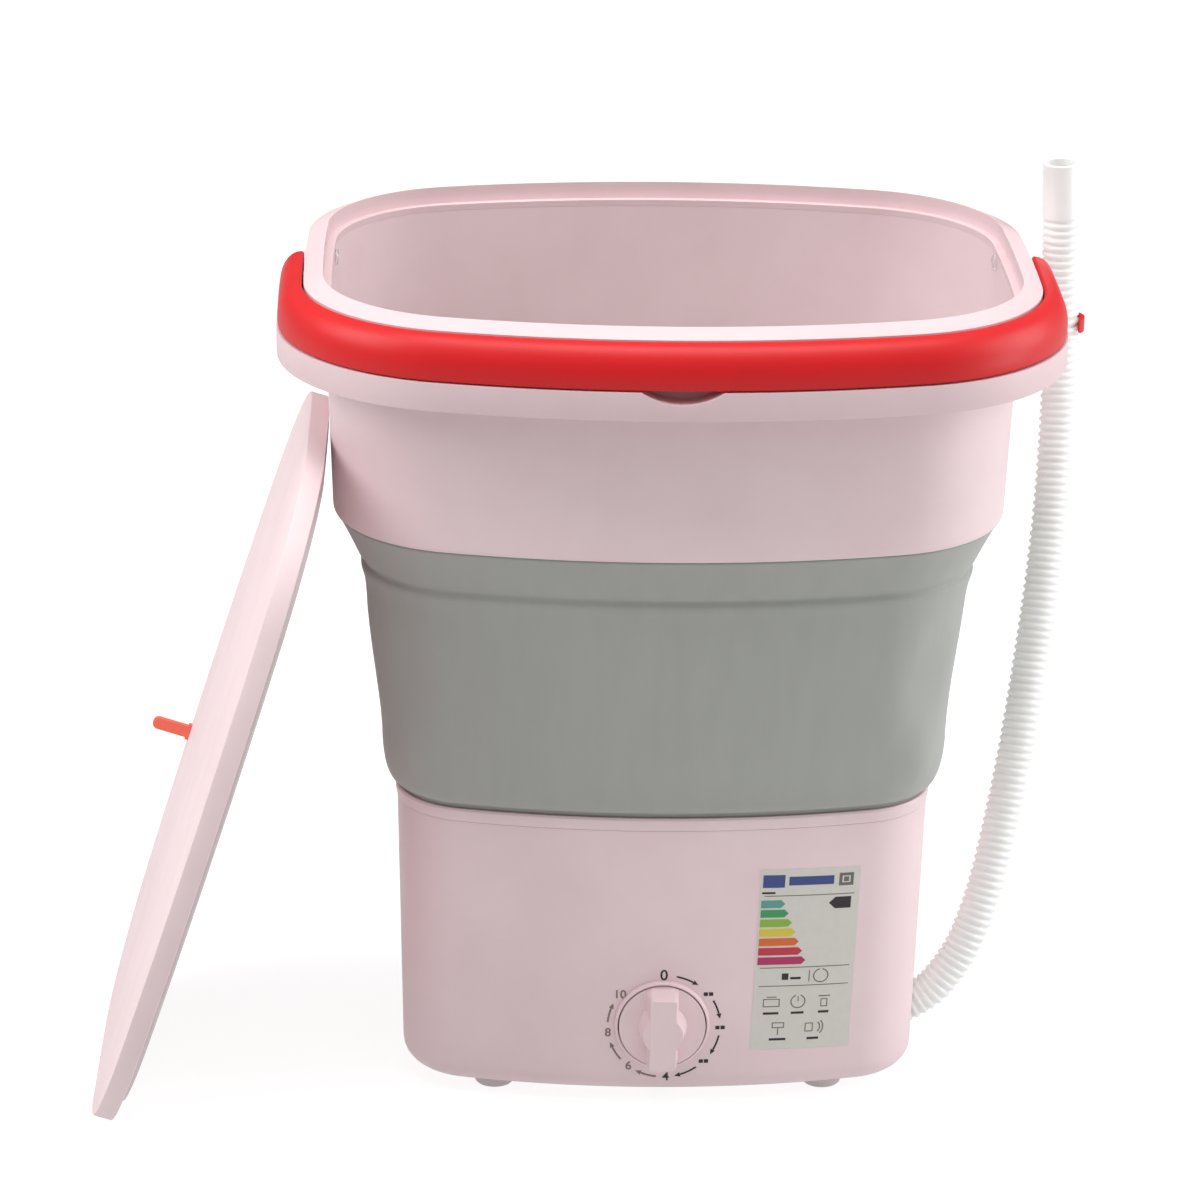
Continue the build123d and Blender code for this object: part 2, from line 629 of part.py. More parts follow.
# Control board on two posts of the casing
with BuildPart() as control_board:
    with Locations((board_x, board_front, board_height)):
        Box(board_width, board_thickness, board_tall, align=(Align.CENTER, Align.MIN, Align.CENTER))
    with Locations((board_x - 8, board_front + 0.1, board_height + 10), (board_x + 10, board_front + 0.1, board_height + 10)):
        Box(15, 12, 15, align=(Align.CENTER, Align.MAX, Align.CENTER))
    with Locations((board_x, board_front + 0.1, board_height - 14)):
        Box(32, 9, 8, align=(Align.CENTER, Align.MAX, Align.CENTER))
    lengthwise([(board_x - 20, board_height - 14)], board_front - 14, board_front + 0.1, 6)
    lengthwise(post_places, board_front - 1, board_front + 3, board_screw_radius + 0.2, Mode.SUBTRACT)
control_board.part.label = "control_board"
export_step(control_board.part, "parts/control_board.step")

with BuildPart() as board_screws:
    lengthwise(post_places, board_front - 1.7, board_front - seat_gap, 2.6)
    lengthwise(post_places, board_front - 1, post_hole_end - 0.5, board_screw_radius)
board_screws.part.label = "board_screws"
export_step(board_screws.part, "parts/board_screws.step")

# Inlet for a lead, through the back wall
cavity_depth = 14.0
with BuildPart() as power_socket:
    with Locations((socket_x, socket_back, socket_height)):
        Box(socket_width, socket_face - socket_back, socket_tall, align=(Align.CENTER, Align.MIN, Align.CENTER))
    with Locations((socket_x, socket_flange_y, socket_height)):
        Box(28, 2, 20, align=(Align.CENTER, Align.MIN, Align.CENTER))
    with Locations((socket_x, socket_face + 1, socket_height)):
        Box(16, cavity_depth + 1, 9, align=(Align.CENTER, Align.MAX, Align.CENTER), mode=Mode.SUBTRACT)
    pin_places = [(socket_x - pin_spread, socket_height), (socket_x + pin_spread, socket_height)]
    lengthwise(pin_places, socket_back + 2, socket_face - cavity_depth + 1, pin_radius + running_gap, Mode.SUBTRACT)
power_socket.part.label = "power_socket"
export_step(power_socket.part, "parts/power_socket.step")

with BuildPart() as socket_pins:
    lengthwise(pin_places, socket_back + 2 + seat_gap, socket_face - 3.7, pin_radius)
socket_pins.part.label = "socket_pins"
export_step(socket_pins.part, "parts/socket_pins.step")

# Soft grey bellows: a rolled foot, a leaning wall and a turned-in shoulder under the upper shell
bellows_foot = collar_top + 3.5
hip_height = 190.0
hip_inset = 51.4
foot_roll_inset = 58.0
ridge_height = 280.0
ridge_inset = 42.2
leg_outer = collar_inner + seat_gap
leg_inner = leg_outer + rubber_wall
cuff_outer = 30.0
cuff_inner = cuff_outer + shell_wall
cuff_top = shell_low + 11.0
outer_levels = []
for step in range(6):
    turn = radians(90 - 18 * step)
    outer_levels.append((hip_height - (hip_height - bellows_foot) * sin(turn),
                         hip_inset + (foot_roll_inset - hip_inset) * (1 - cos(turn))))
outer_levels += [(222, 48.6), (245, 45.9), (262, 44.3), (275, 43.2), (278, 42.9)]
shoulder_high = shell_low - 0.2
shoulder_inset = shell_edge_inset + seat_gap
for step in range(7):
    share = step / 6
    outer_levels.append((ridge_height + (shoulder_high - ridge_height) * share,
                         shoulder_inset + (ridge_inset - shoulder_inset) * (1 - share) ** 0.9))
inner_levels = [level for level in offset_inwards(outer_levels, rubber_wall) if level[0] < shell_low - 7]
with BuildPart() as bellows:
    stack(outer_levels)
    stack([(pan_rim + seat_gap, leg_outer), (bellows_foot + 1, leg_outer)])
    stack([(shell_low - 2, cuff_outer), (cuff_top, cuff_outer)])
    stack([(pan_rim, leg_inner), (bellows_foot + 1.8, leg_inner)] + inner_levels
          + [(shell_low - 6, cuff_inner), (cuff_top + 1, cuff_inner)], Mode.SUBTRACT)
bellows.part.label = "bellows"
export_step(bellows.part, "parts/bellows.step")

# Rings that clamp the bellows inside the base and inside the upper wall
with BuildPart() as bellows_lower_ring:
    stack([(pan_rim + seat_gap, leg_inner + seat_gap), (pan_rim + 6.5, leg_inner + seat_gap)])
    stack([(pan_rim, leg_inner + 2.6), (pan_rim + 7, leg_inner + 2.6)], Mode.SUBTRACT)
bellows_lower_ring.part.label = "bellows_lower_ring"
export_step(bellows_lower_ring.part, "parts/bellows_lower_ring.step")

with BuildPart() as bellows_upper_ring:
    stack([(cuff_top - 10, cuff_inner + seat_gap), (cuff_top, cuff_inner + seat_gap)])
    stack([(cuff_top - 11, cuff_inner + 2.6), (cuff_top + 1, cuff_inner + 2.6)], Mode.SUBTRACT)
bellows_upper_ring.part.label = "bellows_upper_ring"
export_step(bellows_upper_ring.part, "parts/bellows_upper_ring.step")

# Upper wall of the tub, up into the rim
lip_low = 415.5
recess_floor = 418.7
bore_inset = shell_top_inset + shell_wall
rim_screw_y = 36.0
rim_screw_height = 412.4
rim_screw_radius = 1.5
rim_head_radius = 2.4
rim_head_depth = 1.2
bore_x = wall_x(bore_inset, rim_screw_y + rim_head_radius)
rim_screw_places = [(rim_screw_y, rim_screw_height)]
with BuildPart() as upper_shell:
    stack(rolled(shell_low, shell_low + 4.5, shell_edge_inset, shell_low_inset, 4, False)
          + [(flange_low, shell_top_inset), (lip_low - seat_gap, shell_top_inset)])
    stack([(shell_low - 1, cuff_outer - 0.2), (shell_low, cuff_outer - 0.2), (flange_low, bore_inset),
           (lip_low + 1, bore_inset)], Mode.SUBTRACT)
    sideways(rim_screw_places, bore_x - 5, bore_x + 6, rim_screw_radius + seat_gap, Mode.SUBTRACT)
    sideways(rim_screw_places, bore_x - 5, bore_x + rim_head_depth + seat_gap, rim_head_radius + seat_gap,
             Mode.SUBTRACT)
upper_shell.part.label = "upper_shell"
export_step(upper_shell.part, "parts/upper_shell.step")

# Rim: outer flange, rail behind the handle, ledge, and the recess that the lid sits in
pivot_height = 412.65
pivot_radius = 3.0
inner_wall_inset = 20.6
scoop_radius = 34.7
scoop_height = flange_top - 6 + scoop_radius
scoop_back = -rim_half_depth + rail_inset - 0.3
with BuildPart() as rim_frame:
    stack([(flange_low, 0.4), (flange_low + 0.8, 0), (flange_top, 0)])
    stack([(flange_top - 1, rail_inset), (ledge_height - 0.4, rail_inset), (ledge_height, rail_inset + 0.5),
           (crest_height - 0.4, crest_inset - 0.9), (crest_height, crest_inset)])
    stack([(flange_low - 1, shell_wall), (flange_top - shell_wall, shell_wall)], Mode.SUBTRACT)
    stack([(flange_top - shell_wall - 1, rail_inset + shell_wall), (ledge_height - 3, rail_inset + shell_wall),
           (ledge_height - 1, inner_wall_inset)], Mode.SUBTRACT)
    stack([(flange_low, inner_wall_inset), (ledge_height, inner_wall_inset)])
    with Locations((0, scoop_back - 5.1, 396)):
        Box(48, 13, 8)
    stack([(flange_low - 1, shell_top_inset - seat_gap), (lip_low, shell_top_inset - seat_gap)], Mode.SUBTRACT)
    stack([(lip_low - 1, bore_inset), (recess_floor + 1, bore_inset)], Mode.SUBTRACT)
    stack([(recess_floor, recess_inset), (crest_height + 1, recess_inset)], Mode.SUBTRACT)
    lengthwise([(0, scoop_height)], -rim_half_depth - 5, scoop_back, scoop_radius, Mode.SUBTRACT)
    sideways([(0, pivot_height)], rim_half_width - 18, rim_half_width - 10, pivot_radius + running_gap, Mode.SUBTRACT)
    sideways(rim_screw_places, bore_x + 1, rim_half_width - 18, rim_screw_radius + seat_gap, Mode.SUBTRACT)
rim_frame.part.label = "rim_frame"
export_step(rim_frame.part, "parts/rim_frame.step")

with BuildPart() as rim_screws:
    sideways(rim_screw_places, bore_x + 0.05, bore_x + rim_head_depth, rim_head_radius)
    sideways(rim_screw_places, bore_x + 0.5, bore_x + 6.2, rim_screw_radius)
rim_screws.part.label = "rim_screws"
export_step(rim_screws.part, "parts/rim_screws.step")

# Clear caps over those screws
cap_radius = 4.0
cap_thickness = 1.6
cap_x = wall_x(bore_inset, rim_screw_y + cap_radius) - seat_gap
with BuildPart() as rim_caps:
    sideways(rim_screw_places, cap_x - cap_thickness, cap_x, cap_radius)
    chamfer(rim_caps.edges().filter_by(GeomType.CIRCLE).filter_by(
        lambda edge: abs(edge.arc_center.X) < cap_x - 1), 0.6)
rim_caps.part.label = "rim_caps"
export_step(rim_caps.part, "parts/rim_caps.step")

# Red clip that holds the hose beside the rim
clip_low = 369.5
clip_tall = 7.0
clip_inner = hose_radius + 0.3
clip_outer = clip_inner + 2.5
clip_width = 8.0
clip_x = 206.1
clip_y = 61.9
clip_reach = hypot(clip_x - corner_x, clip_y - corner_y)
clip_face = corner_radius - shell_low_inset + (clip_low + clip_tall - shell_low - 4.5) * (
    shell_low_inset - shell_top_inset) / (shell_height - 4.5) + seat_gap
clip_arm = clip_reach - clip_face
with BuildPart() as hose_clip:
    with BuildSketch(Plane(origin=(clip_x, clip_y, clip_low), x_dir=(corner_x - clip_x, corner_y - clip_y, 0),
                           z_dir=(0, 0, 1))):
        Circle(clip_outer)
        with Locations((clip_arm / 2 + 5, 0)):
            Rectangle(clip_arm - 10, clip_width)
        with Locations((0, 8)):
            Rectangle(15, 16, mode=Mode.SUBTRACT)
        Circle(clip_inner, mode=Mode.SUBTRACT)
    extrude(amount=clip_tall)
hose_clip.part.label = "hose_clip"
export_step(hose_clip.part, "parts/hose_clip.step")

# Handle pivots, inside the rim
pin_head_far = rim_half_width - rail_inset - shell_wall - 0.3
pin_far = rim_half_width - 4
with BuildPart() as pivot_pins:
    sideways([(0, pivot_height)], pin_head_far - 2.9, pin_head_far, 4.5)
    sideways([(0, pivot_height)], pin_head_far - 1, pin_far, pivot_radius)
pivot_pins.part.label = "pivot_pins"
export_step(pivot_pins.part, "parts/pivot_pins.step")

# Handle: a bail round the front half of the rim, rounded off above
handle_inner = rail_inset - 0.8
handle_low = flange_top + swing_gap
handle_top = 423.3
handle_end = 10.0
with BuildPart() as carry_handle:
    stack([(handle_low, 0.6)] + rolled(handle_low + 5.4, handle_top, 0.5, 11.2, 7, True))
    stack([(handle_low - 1, handle_inner), (handle_top + 1, handle_inner)], Mode.SUBTRACT)
    with BuildSketch(Plane.YZ.offset(-rim_half_width - 5)):
        with Locations((-90, (handle_low + handle_top) / 2)):
            Rectangle(180, handle_top - handle_low + 4)
        with Locations((handle_end / 2, (pivot_height + handle_top) / 2 + 1)):
            Rectangle(handle_end, handle_top - pivot_height + 2)
        with Locations((0, pivot_height)):
            Circle(pivot_height - handle_low)
    extrude(amount=2 * rim_half_width + 10, mode=Mode.INTERSECT)
    sideways([(0, pivot_height)], rim_half_width - 15, pin_far + 0.2, pivot_radius + running_gap, Mode.SUBTRACT)
carry_handle.part.label = "carry_handle"
export_step(carry_handle.part, "parts/carry_handle.step")

# Lid, taken off and leaning on the left side. Its plane's X runs up the lid, its Z out of the lid.
lid_lean = radians(72.25)
lid_plane = Plane(origin=(-224.8, -46, 173.35), x_dir=(cos(lid_lean), 0, sin(lid_lean)),
                  z_dir=(-sin(lid_lean), 0, cos(lid_lean)))
lid_inset = 13.0
lid_thickness = 9.8
step_inset = 25.5
step_depth = 3.0
seal_inset = 23.5
with BuildPart() as lid_panel:
    stack([(0, lid_inset + 0.4), (0.4, lid_inset), (lid_thickness - 0.8, lid_inset),
           (lid_thickness - 0.2, lid_inset + 0.3), (lid_thickness, lid_inset + 0.9)], base=lid_plane)
    stack([(-step_depth, step_inset), (0.5, step_inset)], base=lid_plane)
lid_panel.part.label = "lid_panel"
export_step(lid_panel.part, "parts/lid_panel.step")

with BuildPart() as lid_seal:
    stack([(-step_depth + 0.2, seal_inset + 0.5), (-step_depth + 1, seal_inset), (-seat_gap, seal_inset)],
          base=lid_plane)
    stack([(-step_depth - 1, step_inset - seat_gap), (1, step_inset - seat_gap)], Mode.SUBTRACT, lid_plane)
lid_seal.part.label = "lid_seal"
export_step(lid_seal.part, "parts/lid_seal.step")

# Red tongue that the lid is lifted by, standing on its face near the far long edge
tab_up = -45.5
tab_across = 132.5
tab_width = 6.4
tab_thickness = 3.2
tab_reach = 20.6
with BuildPart() as lid_pull_tab:
    with BuildSketch(Plane(origin=lid_plane.from_local_coords((tab_up, tab_across, lid_thickness + seat_gap)),
                           x_dir=lid_plane.x_dir, z_dir=(0, -1, 0))):
        with Locations((0, tab_reach / 2 - tab_width / 4)):
            Rectangle(tab_width, tab_reach - tab_width / 2)
        with Locations((0, tab_reach - tab_width / 2)):
            Circle(tab_width / 2)
        with Locations((0, 0.9)):
            Rectangle(tab_width + 2.4, 1.8)
    extrude(amount=tab_thickness / 2, both=True)
lid_pull_tab.part.label = "lid_pull_tab"
export_step(lid_pull_tab.part, "parts/lid_pull_tab.step")
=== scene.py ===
"""Looks of a small folding washing machine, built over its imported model.

The washer has a pink base, a soft grey bellows and a pink upper wall with a rim. A red handle lies
round the rim, a ribbed drain hose stands at the right, and the lid leans on the left side.
Sizes are in millimetres in the classes and turned to metres where a mesh is made.
"""

from __future__ import annotations

import logging
import math
from dataclasses import dataclass, field
from enum import Enum
from typing import Any, Iterable, Sequence

import bmesh
import bpy
from mathutils import Matrix, Vector

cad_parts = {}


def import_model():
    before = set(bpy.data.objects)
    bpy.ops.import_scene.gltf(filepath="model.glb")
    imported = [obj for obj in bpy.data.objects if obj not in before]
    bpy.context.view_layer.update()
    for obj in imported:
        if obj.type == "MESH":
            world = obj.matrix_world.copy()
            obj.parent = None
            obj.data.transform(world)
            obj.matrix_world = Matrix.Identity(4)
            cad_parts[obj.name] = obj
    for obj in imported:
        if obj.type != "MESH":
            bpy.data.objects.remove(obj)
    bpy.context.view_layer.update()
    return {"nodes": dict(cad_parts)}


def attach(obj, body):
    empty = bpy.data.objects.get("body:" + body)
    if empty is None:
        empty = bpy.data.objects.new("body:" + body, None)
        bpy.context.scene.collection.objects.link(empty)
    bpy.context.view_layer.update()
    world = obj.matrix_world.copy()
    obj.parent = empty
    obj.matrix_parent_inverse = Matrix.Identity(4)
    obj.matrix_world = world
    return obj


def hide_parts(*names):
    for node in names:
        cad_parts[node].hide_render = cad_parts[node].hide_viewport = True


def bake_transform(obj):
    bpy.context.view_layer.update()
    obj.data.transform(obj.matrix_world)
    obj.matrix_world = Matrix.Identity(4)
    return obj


LOG = logging.getLogger("washer")
MM = 0.001
Point = tuple[float, float, float]
Outline = list[tuple[float, float]]


class Body(str, Enum):
    """The parts of the washer that move apart from each other."""

    BASE = "base"
    UPPER = "upper"
    HANDLE = "handle"
    KNOB = "knob"
    AGITATOR = "agitator"
    MOTOR = "motor"
    LID = "lid"


# ---------------------------------------------------------------------------------------------
# Nodes and colours


def linear(code: str, alpha: float = 1.0) -> tuple[float, float, float, float]:
    """Turns an sRGB hex colour to linear light.

    Args:
        code: The colour as #RRGGBB.
        alpha: Its opacity.

    Returns:
        Red, green, blue and alpha.
    """
    parts = [int(code[place:place + 2], 16) / 255 for place in (1, 3, 5)]
    red, green, blue = (part / 12.92 if part <= 0.04045 else ((part + 0.055) / 1.055) ** 2.4 for part in parts)
    return red, green, blue, alpha


def add_node(tree: bpy.types.NodeTree, kind: str, settings: dict[str, Any] | None = None,
             links: dict[str | int, Any] | None = None) -> bpy.types.Node:
    """Adds a node with its settings and links.

    Args:
        tree: The tree to add to.
        kind: The node's type.
        settings: Attributes of the node by name.
        links: For each input, by name or place, a value or the output socket that feeds it.

    Returns:
        The node.
    """
    node = tree.nodes.new(kind)
    for name, value in (settings or {}).items():
        setattr(node, name, value)
    for name, value in (links or {}).items():
        socket = node.inputs[name]
        if isinstance(value, bpy.types.NodeSocket):
            tree.links.new(value, socket)
        else:
            socket.default_value = value
    return node


def sum_node(tree: bpy.types.NodeTree, operation: str, *values: Any) -> Any:
    """Adds a sum over values or sockets, and returns the socket of its result."""
    return add_node(tree, "ShaderNodeMath", {"operation": operation}, dict(enumerate(values))).outputs[0]


def vector_node(tree: bpy.types.NodeTree, **parts: Any) -> Any:
    """Adds a vector with the given X, Y and Z, and returns its socket."""
    return add_node(tree, "ShaderNodeCombineXYZ", {}, parts).outputs[0]


def map_node(tree: bpy.types.NodeTree, value: Any, to: tuple[Any, Any],
             source: tuple[float, float] = (0.0, 1.0), **settings: Any) -> Any:
    """Maps a value from one range to another, and returns the socket of its result."""
    return add_node(tree, "ShaderNodeMapRange", settings, {
        "Value": value, "From Min": source[0], "From Max": source[1],
        "To Min": to[0], "To Max": to[1]}).outputs["Result"]


@dataclass(frozen=True)
class Finish:
    """What every finish has: a name, a colour, a gloss, and detail on Object coordinates."""

    name: str
    colour: str
    roughness: float = 0.4
    ior: float = 1.5

    def build(self) -> bpy.types.Material:
        """Returns the material."""
        material = bpy.data.materials.new(self.name)
        material.use_nodes = True
        material.diffuse_color = linear(self.colour)
        tree = material.node_tree
        shader = tree.nodes["Principled BSDF"]
        self.set(shader, {"Base Color": linear(self.colour), "Roughness": self.roughness, "IOR": self.ior})
        self.detail(tree, shader, add_node(tree, "ShaderNodeTexCoord").outputs["Object"])
        return material

    def detail(self, tree: bpy.types.NodeTree, shader: bpy.types.Node, place: Any) -> None:
        """Adds what one kind of finish has over another.

        Args:
            tree: The material's tree.
            shader: Its shader.
            place: Where on the object the surface is.
        """
        raise NotImplementedError

    def set(self, shader: bpy.types.Node, values: dict[str, Any]) -> None:
        """Gives inputs of a shader their values, by name."""
        for name, value in values.items():
            shader.inputs[name].default_value = value

    def mottle(self, tree: bpy.types.NodeTree, shader: bpy.types.Node, place: Any, dark: str, size: float,
               share: float, swing: float = 0.06) -> None:
        """Varies the colour and gloss slowly over the surface.

        Args:
            tree: The material's tree.
            shader: Its shader.
            place: Where on the object the surface is.
            dark: The darker colour, as hex.
            size: Width of a patch, in millimetres.
            share: How much of the darker colour shows at most.
            swing: How far the roughness swings.
        """
        patches = add_node(tree, "ShaderNodeTexNoise", {}, {
            "Vector": place, "Scale": 1 / (size * MM), "Detail": 3.0, "Roughness": 0.55}).outputs["Fac"]
        spread = map_node(tree, patches, (0.0, share), (0.35, 0.7))
        mix = add_node(tree, "ShaderNodeMix", {"data_type": "RGBA"},
                       {"Factor": spread, "A": linear(self.colour), "B": linear(dark)})
        tree.links.new(mix.outputs["Result"], shader.inputs["Base Color"])
        gloss = map_node(tree, patches, (self.roughness - swing / 2, self.roughness + swing / 2), (0.3, 0.7))
        tree.links.new(gloss, shader.inputs["Roughness"])

    def bump(self, tree: bpy.types.NodeTree, shader: bpy.types.Node, height: Any, depth: float,
             strength: float = 1.0) -> None:
        """Raises the surface by a pattern.

        Args:
            tree: The material's tree.
            shader: Its shader.
            height: The pattern's socket.
            depth: How high it is, in millimetres.
            strength: How much of it shows.
        """
        bump = add_node(tree, "ShaderNodeBump", {}, {
            "Height": height, "Strength": strength, "Distance": depth * MM})
        tree.links.new(bump.outputs["Normal"], shader.inputs["Normal"])

    def grain(self, tree: bpy.types.NodeTree, shader: bpy.types.Node, place: Any, size: float, depth: float,
              detail: float = 2.0) -> None:
        """Roughens the surface.

        Args:
            tree: The material's tree.
            shader: Its shader.
            place: Where on the object the surface is.
            size: Width of a grain, in millimetres.
            depth: Height of a grain, in millimetres.
            detail: How many finer layers the grain has.
        """
        self.bump(tree, shader, add_node(tree, "ShaderNodeTexNoise", {}, {
            "Vector": place, "Scale": 1 / (size * MM), "Detail": detail}).outputs["Fac"], depth)


@dataclass(frozen=True)
class MouldedPlastic(Finish):
    """ABS or polypropylene out of a mould: an even colour, a satin skin and a very fine orange peel."""

    shade: str = "#B79094"
    peel: float = 2.2             # drawn coarser than the real 0.3 mm, so that it shows
    peel_height: float = 0.012

    def detail(self, tree: bpy.types.NodeTree, shader: bpy.types.Node, place: Any) -> None:
        """Adds faint clouds and the peel."""
        self.mottle(tree, shader, place, self.shade, 46, 0.09)
        self.grain(tree, shader, place, self.peel, self.peel_height)


@dataclass(frozen=True)
class GlossyPlastic(MouldedPlastic):
    """Dyed polypropylene from a polished mould: its colour is deep, and it can glow a little at its edges."""

    glow: float = 0.12

    def detail(self, tree: bpy.types.NodeTree, shader: bpy.types.Node, place: Any) -> None:
        """Adds clouds of its darker shade, a soft peel and the glow."""
        self.mottle(tree, shader, place, self.shade, 60, 0.16, 0.05)
        self.grain(tree, shader, place, 3.2, 0.01)
        self.set(shader, {"Subsurface Weight": self.glow, "Subsurface Radius": (0.004, 0.0012, 0.0008)})


@dataclass(frozen=True)
class SoftElastomer(Finish):
    """Moulded thermoplastic rubber: matt, with dusty streaks that run down it and a soft sheen."""

    shade: str = "#83827F"
    streak: float = 9.0
    sheen: float = 0.15

    def detail(self, tree: bpy.types.NodeTree, shader: bpy.types.Node, place: Any) -> None:
        """Adds the streaks, a grain and the sheen."""
        stretched = add_node(tree, "ShaderNodeMapping", {}, {"Vector": place, "Scale": (1.0, 1.0, 0.16)})
        self.mottle(tree, shader, stretched.outputs["Vector"], self.shade, self.streak, 0.08, 0.08)
        self.grain(tree, shader, place, 1.6, 0.02, 3.0)
        self.set(shader, {"Sheen Weight": self.sheen, "Sheen Roughness": 0.5})


@dataclass(frozen=True)
class MilkyPolyethylene(Finish):
    """Blown polyethylene, thin enough to let light through: milky white, waxy and faintly wavy."""

    shade: str = "#B9B8B2"
    glow: float = 0.10            # painted light: a constant emission that brightens the whole wall

    def detail(self, tree: bpy.types.NodeTree, shader: bpy.types.Node, place: Any) -> None:
        """Adds clouds, waves, light scattered inside the wall, and a painted glow."""
        self.mottle(tree, shader, place, self.shade, 14, 0.16, 0.08)
        self.grain(tree, shader, place, 3.0, 0.03)
        # Subsurface and transmission are the wall's own; the emission is painted light that brightens the hose.
        self.set(shader, {
            "Subsurface Weight": 0.5, "Subsurface Radius": (0.004, 0.0038, 0.0034),
            "Transmission Weight": 0.06, "Emission Color": linear(self.colour), "Emission Strength": self.glow})


@dataclass(frozen=True)
class ClearAcrylic(Finish):
    """Clear moulded acrylic, with faint flow lines in it."""

    def detail(self, tree: bpy.types.NodeTree, shader: bpy.types.Node, place: Any) -> None:
        """Lets light through and adds the flow lines."""
        self.set(shader, {"Transmission Weight": 0.9})
        self.grain(tree, shader, place, 1.2, 0.02)


@dataclass(frozen=True)
class TurnedMetal(Finish):
    """Turned or rolled metal: fine tool marks about its axis, and gloss that varies between them."""

    marks: float = 0.6            # between one tool mark and the next, in millimetres

    def detail(self, tree: bpy.types.NodeTree, shader: bpy.types.Node, place: Any) -> None:
        """Adds dull patches and the tool marks."""
        self.set(shader, {"Metallic": 1.0})
        self.mottle(tree, shader, place, "#4A4A4C", 6, 0.25, 0.12)
        rings = add_node(tree, "ShaderNodeTexWave", {"wave_type": "RINGS", "rings_direction": "SPHERICAL"},
                         {"Vector": place, "Scale": 1 / (self.marks * MM * 20), "Distortion": 1.5})
        self.bump(tree, shader, rings.outputs["Fac"], 0.01, 0.5)


@dataclass(frozen=True)
class PrintedFilm(Finish):
    """Paper or ink on film: flat and matt, with the paper's faint cloud in it."""

    shade: str = "#A8A49C"

    def detail(self, tree: bpy.types.NodeTree, shader: bpy.types.Node, place: Any) -> None:
        """Adds the cloud and a faint grain."""
        self.mottle(tree, shader, place, self.shade, 5, 0.10, 0.05)
        self.grain(tree, shader, place, 0.8, 0.006)


@dataclass(frozen=True)
class GradedInk(Finish):
    """Bright inks that run from green through yellow to red, one for each bar, by the bars' own attribute."""

    inks: tuple[str, ...] = ("#5B9E96", "#3F9A5A", "#8DB53E", "#DDC63C", "#DB6A2C", "#C62E44", "#B52A62")

    def detail(self, tree: bpy.types.NodeTree, shader: bpy.types.Node, place: Any) -> None:
        """Adds the run of inks and a faint grain."""
        grade = add_node(tree, "ShaderNodeAttribute", {"attribute_name": "grade"}).outputs["Fac"]
        ramp = add_node(tree, "ShaderNodeValToRGB", {}, {"Fac": grade})
        ramp.color_ramp.interpolation = "CONSTANT"
        while len(ramp.color_ramp.elements) < len(self.inks):
            ramp.color_ramp.elements.new(0.5)
        for number, ink in enumerate(self.inks):
            ramp.color_ramp.elements[number].position = max(0.0, (number - 0.5) / len(self.inks))
            ramp.color_ramp.elements[number].color = linear(ink)
        tree.links.new(ramp.outputs["Color"], shader.inputs["Base Color"])
        self.grain(tree, shader, place, 0.8, 0.006)


class Palette:
    """Every finish of the washer, made once."""

    def __init__(self) -> None:
        """Builds the materials."""
        self.pink = MouldedPlastic("pink_moulded_abs", "#F1DADD", 0.38, 1.52).build()
        self.lid = MouldedPlastic("pale_pink_moulded_abs", "#F0DADC", 0.6, 1.46).build()
        # The rim's pink is the shell's pink made darker: painted shade that tones down the top light on the rim.
        self.rim = MouldedPlastic("rim_pink_abs_darkened_as_painted_shade", "#E9CFD2", 0.45, 1.5).build()
        self.red = GlossyPlastic(
            "red_polished_polypropylene", "#D8171B", 0.42, 1.42, "#A80A18", glow=0.0).build()
        self.tongue = GlossyPlastic(
            "orange_red_soft_polypropylene", "#FA7560", 0.4, 1.45, "#E8503C", glow=0.2).build()
        self.grey = SoftElastomer("grey_moulded_elastomer", "#AAACA7", 0.62, 1.45).build()
        self.milky = MilkyPolyethylene("milky_blown_polyethylene", "#F3F3F1", 0.36, 1.5, "#D2D1CD").build()
        self.pale = MouldedPlastic("white_moulded_polypropylene", "#E8E2E0", 0.42, 1.49, "#9A9490").build()
        self.dark = MouldedPlastic("black_moulded_nylon", "#1D1D1F", 0.55, 1.53, "#3A3A3C").build()
        self.motor = MouldedPlastic("grey_powder_coat", "#4C4E52", 0.5, 1.5, "#2C2D30", 1.2, 0.05).build()
        self.steel = TurnedMetal("zinc_plated_steel", "#B9BABC", 0.34).build()
        self.brass = TurnedMetal("turned_brass", "#C7A25A", 0.3).build()
        self.alloy = TurnedMetal("turned_aluminium", "#C9CACC", 0.33).build()
        self.black = SoftElastomer("black_moulded_rubber", "#1A1A1A", 0.7, 1.5, "#343434", 4.0).build()
        self.seal = SoftElastomer("pale_moulded_silicone", "#DCD2D2", 0.5, 1.43, "#A39A9A", 4.0).build()
        self.board = MouldedPlastic("green_board_laminate", "#1E5A3A", 0.35, 1.55, "#0F3522", 1.5).build()
        self.clear = ClearAcrylic("clear_moulded_acrylic", "#F6F8F8", 0.08, 1.49).build()
        self.ink = PrintedFilm("black_pad_printed_ink", "#262224", 0.5, 1.5, "#55504F").build()
        self.brown_ink = PrintedFilm("brown_pad_printed_ink", "#8A7268", 0.5, 1.5, "#A08C84").build()
        self.paper = PrintedFilm("coated_label_paper", "#DAD7CF", 0.5, 1.5, "#B4AFA6").build()
        self.blue_ink = PrintedFilm("blue_offset_ink", "#3A4A86", 0.5, 1.5, "#5A6A9E").build()
        self.grey_ink = PrintedFilm("grey_offset_ink", "#6E6A66", 0.5, 1.5, "#8E8A84").build()
        self.bars = GradedInk("graded_label_inks", "#B09050", 0.45).build()


# ---------------------------------------------------------------------------------------------
# Shapes


